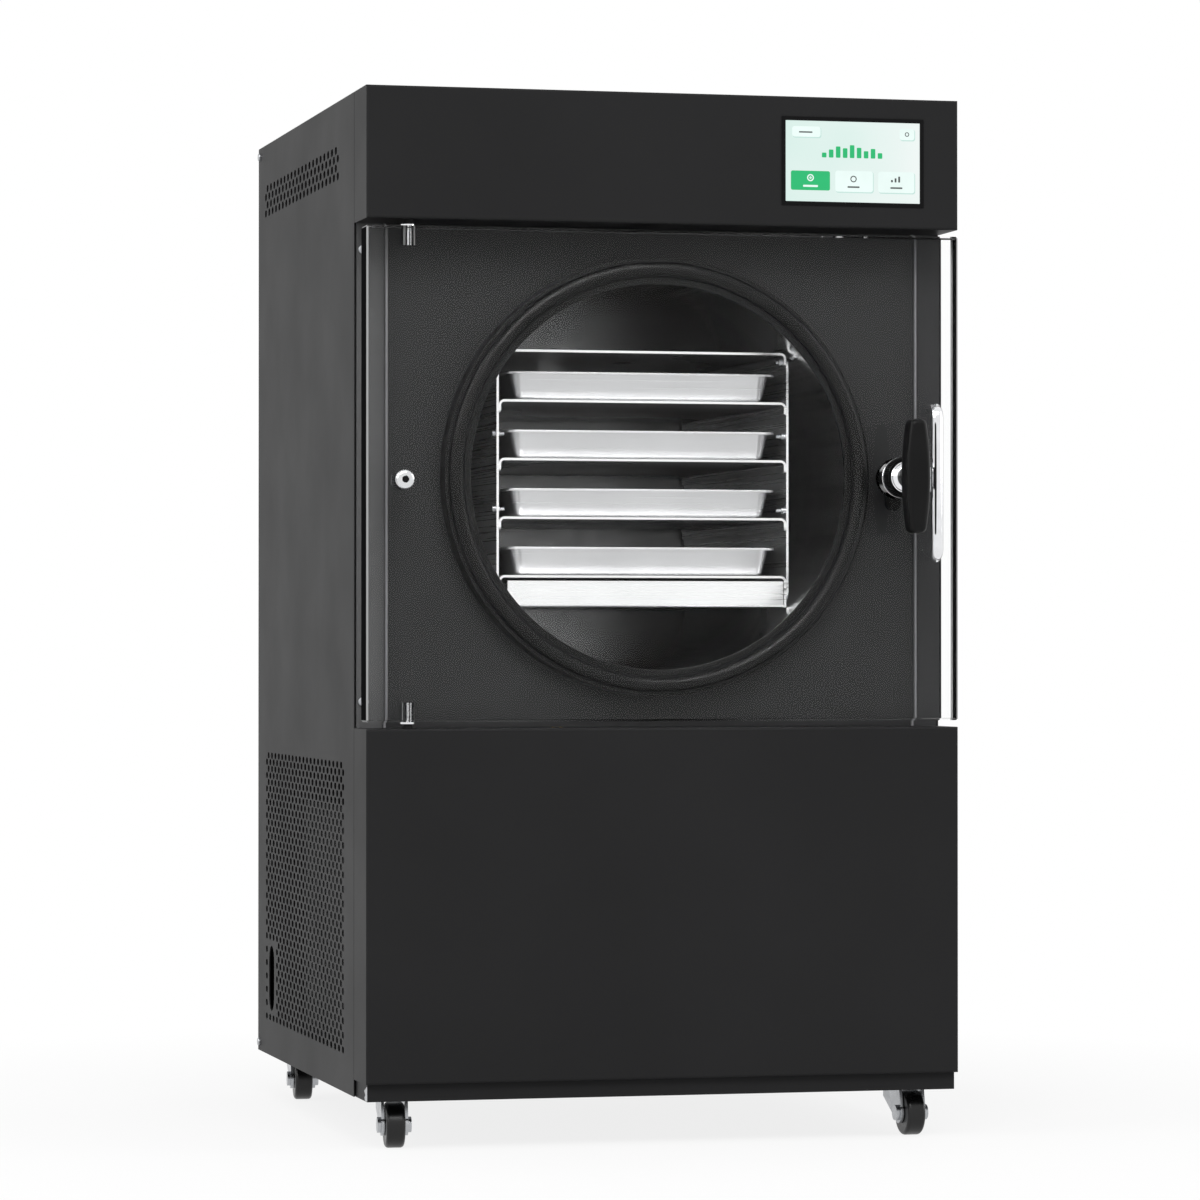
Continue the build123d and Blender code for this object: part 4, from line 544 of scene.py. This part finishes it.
def rounded(x0, x1, z0, z1, corner):
    """Points round a rectangle with rounded corners."""
    points = []
    for x, z, start in ((x1, z1, 0), (x0, z1, 90), (x0, z0, 180), (x1, z0, 270)):
        cx = x - math.copysign(corner, x - (x0 + x1) / 2)
        cz = z - math.copysign(corner, z - (z0 + z1) / 2)
        for step in range(CORNER_STEPS + 1):
            angle = math.radians(start + 90 * step / CORNER_STEPS)
            points.append((cx + corner * math.cos(angle), cz + corner * math.sin(angle)))
    return points


def prism(bm, outline, y0, y1, along="y"):
    """A closed plate whose outline lies across Y, or across X when along is "x"."""
    def place(point, depth):
        return (depth, *point) if along == "x" else (point[0], depth, point[1])

    near = [bm.verts.new(place(p, y0)) for p in outline]
    far = [bm.verts.new(place(p, y1)) for p in outline]
    bm.faces.new(near)
    bm.faces.new(reversed(far))
    count = len(outline)
    for i in range(count):
        bm.faces.new((near[i], near[(i + 1) % count], far[(i + 1) % count], far[i]))


def lathe(bm, profile, x, z, segments=LATHE_SEGMENTS, rib=0.0):
    """A closed ring turned about a line along Y: profile holds (radius, y) points.

    With rib set, every other line of points on the outside is drawn in by that share.
    """
    widest = max(radius for radius, _ in profile)
    rings = []
    for step in range(segments):
        angle = math.tau * step / segments
        ring = []
        for radius, y in profile:
            reach = radius * (1 - rib) if step % 2 and radius == widest else radius
            ring.append(bm.verts.new((x + reach * math.cos(angle), y, z + reach * math.sin(angle))))
        rings.append(ring)
    count = len(profile)
    for step in range(segments):
        first, second = rings[step], rings[(step + 1) % segments]
        for i in range(count):
            j = (i + 1) % count
            bm.faces.new((first[i], first[j], second[j], second[i]))


def vent_centres(first_y, first_z, columns, rows, row_pitch):
    """Centres of a staggered field."""
    for row in range(rows):
        shift = VENT_COLUMN_PITCH / 2 if row % 2 else 0.0
        count = columns - 1 if row % 2 else columns
        for column in range(count):
            yield first_y + shift + column * VENT_COLUMN_PITCH, first_z + row * row_pitch


def perforated_sheet(outline, holes, x0, x1):
    """A flat sheet between x0 and x1 whose outline and holes are given as (y, z) points."""
    points = []
    loops = []
    for loop in [outline, *holes]:
        loops.append(list(range(len(points), len(points) + len(loop))))
        points += [Vector(p) for p in loop]
    flat, _, faces, _, _, inside = delaunay_2d_cdt(points, [], loops, 1, MERGE_DISTANCE, True)
    faces = [face for face, areas in zip(faces, inside) if list(areas) == [0]]
    bm = bmesh.new()
    near = [bm.verts.new((x0, p.x, p.y)) for p in flat]
    far = [bm.verts.new((x1, p.x, p.y)) for p in flat]
    for face in faces:
        bm.faces.new([near[i] for i in face])
    bm.verts.index_update()
    walls = [tuple(v.index for v in e.verts) for e in bm.edges if e.is_boundary]
    for face in faces:
        bm.faces.new([far[i] for i in reversed(face)])
    for a, b in walls:
        bm.faces.new((near[a], near[b], far[b], far[a]))
    return bm


# ---------------------------------------------------------------------------
# Pieces
# ---------------------------------------------------------------------------

def perforated_side(side):
    """Side panel with both vent fields cut through."""
    node = f"side_panel_{side}"
    low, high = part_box(node)
    body_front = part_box("chamber_front_plate")[1].y
    outline = [(low.y, low.z), (high.y, low.z), (high.y, high.z), (low.y, high.z)]
    hose = (body_front + HOSE_SLOT_BEHIND, low.z + HOSE_SLOT_RISE)
    upper_z = high.z - UPPER_VENT_TOP_DROP - (UPPER_VENT_ROWS - 1) * UPPER_VENT_ROW_PITCH
    upper = vent_centres(
        body_front + UPPER_VENT_START, upper_z, UPPER_VENT_COLUMNS, UPPER_VENT_ROWS, UPPER_VENT_ROW_PITCH,
    )
    lower = vent_centres(
        body_front + LOWER_VENT_START, low.z + LOWER_VENT_RISE,
        LOWER_VENT_COLUMNS, LOWER_VENT_ROWS, LOWER_VENT_ROW_PITCH,
    )
    clear_y = (HOSE_SLOT_WIDTH + VENT_LENGTH) / 2 + HOSE_SLOT_MARGIN
    clear_z = (HOSE_SLOT_HEIGHT + VENT_HEIGHT) / 2 + HOSE_SLOT_MARGIN / 2
    holes = []
    if side == "left":
        upright = reversed(obround((0.0, 0.0), HOSE_SLOT_HEIGHT, HOSE_SLOT_WIDTH))
        holes.append([(hose[0] + across, hose[1] + along) for along, across in upright])
        lower = [c for c in lower if abs(c[0] - hose[0]) > clear_y or abs(c[1] - hose[1]) > clear_z]
    holes += [obround(c, VENT_LENGTH, VENT_HEIGHT) for c in upper]
    holes += [obround(c, VENT_LENGTH, LOWER_VENT_HEIGHT) for c in lower]
    inside, outside = (high.x, low.x) if side == "left" else (low.x, high.x)
    bm = perforated_sheet(outline, holes, outside, outside + math.copysign(SIDE_SHEET, inside - outside))
    piece = piece_from_mesh(bm, f"perforated_side_{side}", "root", "black_sheet")
    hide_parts(node)


def latch_centre():
    low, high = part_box("latch_knob")
    return (low.x + high.x) / 2, (low.z + high.z) / 2


def latch_hub_pieces():
    """Black ribbed ring nut and sleeve, with bright rings on both faces of the slab."""
    front, rear = (corner.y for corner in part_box("door_panel"))
    x, z = latch_centre()
    nut_front = front - HUB_NUT_LENGTH
    sleeve = bmesh.new()
    lathe(sleeve, [
        (BORE_RADIUS, nut_front + HUB_RING), (HUB_RIM_RADIUS, nut_front + HUB_RING),
        (HUB_RIM_RADIUS, front), (HUB_BARREL_RADIUS, front), (HUB_BARREL_RADIUS, rear), (BORE_RADIUS, rear),
    ], x, z)
    lathe(sleeve, [
        (HUB_RIM_RADIUS, nut_front + HUB_RING / 2), (HUB_BARREL_RADIUS, nut_front + HUB_RING / 2),
        (HUB_NUT_RADIUS, nut_front + HUB_NUT_TAPER), (HUB_NUT_RADIUS, front - 1.5 * HUB_RING),
        (HUB_NUT_RADIUS - HUB_RING / 2, front - HUB_RING), (HUB_RIM_RADIUS, front - HUB_RING),
    ], x, z, 2 * HUB_RIBS, HUB_RIB_DEPTH)
    piece = piece_from_mesh(sleeve, "hub_ring_nut", "door", "black_plastic", True)
    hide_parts("latch_hub")
    rings = bmesh.new()
    lathe(rings, [
        (BORE_RADIUS, nut_front), (HUB_RIM_RADIUS - HUB_RING / 2, nut_front),
        (HUB_RIM_RADIUS, nut_front + HUB_RING / 2), (HUB_RIM_RADIUS, nut_front + HUB_RING),
        (BORE_RADIUS, nut_front + HUB_RING),
    ], x, z)
    lathe(rings, [
        (HUB_RIM_RADIUS, front - HUB_RING), (HUB_NUT_RADIUS - HUB_RING / 3, front - HUB_RING),
        (HUB_NUT_RADIUS, front - HUB_RING / 2), (HUB_NUT_RADIUS, front), (HUB_RIM_RADIUS, front),
    ], x, z)
    lathe(rings, [
        (BORE_RADIUS, rear), (HUB_NUT_RADIUS, rear), (HUB_NUT_RADIUS, rear + HUB_WASHER - HUB_RING / 2),
        (HUB_NUT_RADIUS - HUB_RING / 2, rear + HUB_WASHER), (BORE_RADIUS, rear + HUB_WASHER),
    ], x, z)
    piece = piece_from_mesh(rings, "hub_bright_rings", "door", "chrome", True)
    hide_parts("latch_hub")


def latch_spindle_pieces():
    """Bright spindle with its coned collar, and the black pawl behind the slab."""
    front, rear = (corner.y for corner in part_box("door_panel"))
    x, z = latch_centre()
    collar_rear = front - HUB_NUT_LENGTH - COLLAR_GAP
    collar_front = collar_rear - COLLAR_LENGTH
    pawl_front = rear + HUB_WASHER + PAWL_GAP
    pawl_rear = pawl_front + PAWL_THICKNESS
    bar_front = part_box("latch_spindle")[0].y
    collar = [
        (across * COLLAR_RADIUS, collar_front + along * COLLAR_LENGTH) for across, along in COLLAR_SHAPE
    ]
    bar = bmesh.new()
    lathe(bar, [
        (SPINDLE_CORE_RADIUS, bar_front), (SPINDLE_RADIUS, bar_front), (SPINDLE_RADIUS, collar_front),
        *collar,
        (SPINDLE_RADIUS, collar_rear), (SPINDLE_RADIUS, pawl_rear), (SPINDLE_CORE_RADIUS, pawl_rear),
    ], x, z)
    piece = piece_from_mesh(bar, "latch_spindle_bar", "latch", "chrome", True)
    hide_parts("latch_spindle")
    pawl = bmesh.new()
    outline = rounded(
        x - PAWL_HALF_WIDTH, x + PAWL_HALF_WIDTH, z - PAWL_REACH - PAWL_HALF_WIDTH, z + PAWL_HALF_WIDTH,
        PAWL_CORNER,
    )
    prism(pawl, outline, pawl_front, pawl_rear)
    piece = piece_from_mesh(pawl, "latch_pawl", "latch", "black_plastic", True)
    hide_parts("latch_spindle")


def plate_edges():
    """Lips folded forward along both upright edges of the chamber's front plate, painted pale as a painted
    highlight.
    """
    low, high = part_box("chamber_front_plate")
    bm = bmesh.new()
    for x0, x1 in ((low.x, low.x + PLATE_EDGE_WIDTH), (high.x - PLATE_EDGE_WIDTH, high.x)):
        outline = [(x0, low.z), (x1, low.z), (x1, high.z), (x0, high.z)]
        prism(bm, outline, low.y - PLATE_EDGE_DEPTH, low.y)
    piece_from_mesh(bm, "plate_edges", "root", "post_paint", look="painted_edge_highlight")


def bolt_socket_shade():
    """Dark hexagon set into the socket of the hinge-side bolt, painted shade in the recess."""
    low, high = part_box("hinge_side_bolt")
    x, z = (low.x + high.x) / 2, (low.z + high.z) / 2
    outline = []
    for side in range(6):
        turn = math.tau * side / 6
        outline.append((x + BOLT_HEX_RADIUS * math.cos(turn), z + BOLT_HEX_RADIUS * math.sin(turn)))
    bm = bmesh.new()
    prism(bm, outline, low.y + BOLT_HEX_DEPTH, low.y + BOLT_HEX_DEPTH + BOLT_HEX_THICKNESS)
    piece_from_mesh(bm, "bolt_socket_shade", "door", "black_plastic")


def pan_corner_wear():
    """Bare metal where the coating has come off the base pan's left front corner."""
    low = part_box("base_pan")[0]
    outline = [(low.y + back * MM, low.z + rise * MM) for back, rise in PAN_WEAR_OUTLINE]
    bm = bmesh.new()
    prism(bm, outline, low.x - PAN_WEAR_LIFT, low.x + PAN_WEAR_LIFT, "x")
    piece_from_mesh(bm, "pan_corner_wear", "root", "zinc")


def screen_tile(bm, place, corner, layer):
    """A thin rounded tile, a number of layers in front of the lit panel."""
    low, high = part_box("display_screen")
    x0, x1 = (low.x + share * (high.x - low.x) for share in place[:2])
    z0, z1 = (low.z + share * (high.z - low.z) for share in place[2:])
    face = low.y - layer * SCREEN_LAYER
    prism(bm, rounded(x0, x1, z0, z1, corner * MM), face - SCREEN_LAYER, face)


def screen_ring(bm, centre, outer, inner, layer):
    low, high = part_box("display_screen")
    x = low.x + centre[0] * (high.x - low.x)
    z = low.z + centre[1] * (high.z - low.z)
    rear = low.y - layer * SCREEN_LAYER
    front = rear - SCREEN_LAYER
    profile = [(inner * MM, front), (outer * MM, front), (outer * MM, rear), (inner * MM, rear)]
    lathe(bm, profile, x, z, RING_SEGMENTS)


def display_graphics():
    """Plain tiles, bars and marks on the lit screen, one piece for each ink."""
    inks = {ink: bmesh.new() for ink in SCREEN_INKS}
    for place in SCREEN_TILES:
        shade_place = [share + shift for share, shift in zip(place, TILE_SHADE)]
        screen_tile(inks["shade_ink"], shade_place, TILE_CORNER, 0)
        screen_tile(inks["pale_ink"], place, TILE_CORNER, 1)
    screen_tile(inks["green_ink"], GREEN_TILE, GREEN_TILE_CORNER, 1)
    for index, height in enumerate(CHART_HEIGHTS):
        left = CHART_LEFT + CHART_PITCH * index
        place = (left, left + CHART_BAR, CHART_FOOT, CHART_FOOT + height)
        screen_tile(inks["green_ink"], place, CHART_CORNER, 1)
    for index in range(SIGN_BARS):
        left = SIGN_LEFT + SIGN_PITCH * index
        place = (left, left + SIGN_BAR, SIGN_FOOT, SIGN_TOP + SIGN_STEP * index)
        screen_tile(inks["dark_ink"], place, SIGN_CORNER, 2)
    for ink, place, corner in SCREEN_LINES:
        screen_tile(inks[ink], place, corner, 2)
    for ink, centre, outer, inner in SCREEN_RINGS:
        screen_ring(inks[ink], centre, outer, inner, 2)
    for ink, bm in inks.items():
        piece_from_mesh(bm, f"screen_{ink}", "root", "screen", look=ink)


# ---------------------------------------------------------------------------
# Stage
# ---------------------------------------------------------------------------

def seen_light(tree):
    """1 for a ray that the camera, a mirror or glass sees, and 0 for light on surfaces."""
    path = tree.nodes.new("ShaderNodeLightPath")
    total = path.outputs["Is Camera Ray"]
    for output in ("Is Glossy Ray", "Is Transmission Ray"):
        node = tree.nodes.new("ShaderNodeMath")
        node.operation = "MAXIMUM"
        tree.links.new(total, node.inputs[0])
        tree.links.new(path.outputs[output], node.inputs[1])
        total = node.outputs["Value"]
    return total


def make_world():
    world = bpy.data.worlds.new("studio")
    bpy.context.scene.world = world
    world.use_nodes = True
    tree = world.node_tree
    background = tree.nodes["Background"]
    background.inputs["Color"].default_value = (1, 1, 1, 1)
    level = tree.nodes.new("ShaderNodeMapRange")
    level.inputs["To Min"].default_value = ROOM_LIGHT
    level.inputs["To Max"].default_value = ROOM_SEEN
    tree.links.new(seen_light(tree), level.inputs["Value"])
    tree.links.new(level.outputs["Result"], background.inputs["Strength"])


def make_floor():
    """White floor that keeps a soft shadow round the casters and fades to plain white."""
    bm = bmesh.new()
    bmesh.ops.create_circle(bm, cap_ends=True, segments=FLOOR_SEGMENTS, radius=FLOOR_RADIUS)
    mesh = bpy.data.meshes.new("floor")
    bm.to_mesh(mesh)
    bm.free()
    floor = bpy.data.objects.new("floor", mesh)
    bpy.context.scene.collection.objects.link(floor)
    look = Look("floor").fixed(base_color=(0.82, 0.82, 0.82, 1.0), roughness=0.7, specular_ior_level=0.1)
    distance = look.add("VectorMath", operation="LENGTH")
    look.link(look.coords, distance.inputs[0])
    share = look.spread(distance.outputs["Value"], FADE_NEAR_SHARE, 1.0, FADE_FROM, FADE_TO)
    factor = look.maths("MULTIPLY", share, seen_light(look.tree))
    glow = look.add("Emission")
    glow.inputs["Strength"].default_value = 1.0
    mix = look.add("MixShader")
    look.link(factor, mix.inputs[0])
    look.link(look.shader.outputs["BSDF"], mix.inputs[1])
    look.link(glow.outputs["Emission"], mix.inputs[2])
    look.link(mix.outputs["Shader"], look.tree.nodes["Material Output"].inputs["Surface"])
    mesh.materials.append(look.material)


def softbox(name, place, size, power):
    lamp = bpy.data.lights.new(name, "AREA")
    lamp.shape = "RECTANGLE"
    lamp.size, lamp.size_y = size
    lamp.energy = power
    holder = bpy.data.objects.new(name, lamp)
    bpy.context.scene.collection.objects.link(holder)
    holder.location = place
    holder.rotation_euler = (Vector(LAMP_TARGET) - Vector(place)).to_track_quat("-Z", "Y").to_euler()


def make_camera():
    camera = bpy.data.cameras.new("camera")
    camera.lens = CAMERA_LENS
    camera.sensor_width = CAMERA_SENSOR
    camera.clip_end = CAMERA_REACH
    holder = bpy.data.objects.new("camera", camera)
    bpy.context.scene.collection.objects.link(holder)
    holder.location = CAMERA_PLACE
    holder.rotation_euler = (math.radians(CAMERA_TILT), 0.0, math.radians(CAMERA_TURN))
    bpy.context.scene.camera = holder


def main():
    bpy.context.scene.view_settings.view_transform = "Standard"
    make_camera()
    make_world()
    make_floor()
    for lamp in LAMPS:
        softbox(*lamp)
    LOOKS.update(make_materials())
    dress_cad_nodes()
    for side in ("left", "right"):
        perforated_side(side)
    latch_hub_pieces()
    latch_spindle_pieces()
    plate_edges()
    bolt_socket_shade()
    pan_corner_wear()
    display_graphics()
    write_sizes()


def write_sizes():
    bpy.context.view_layer.update()


main()
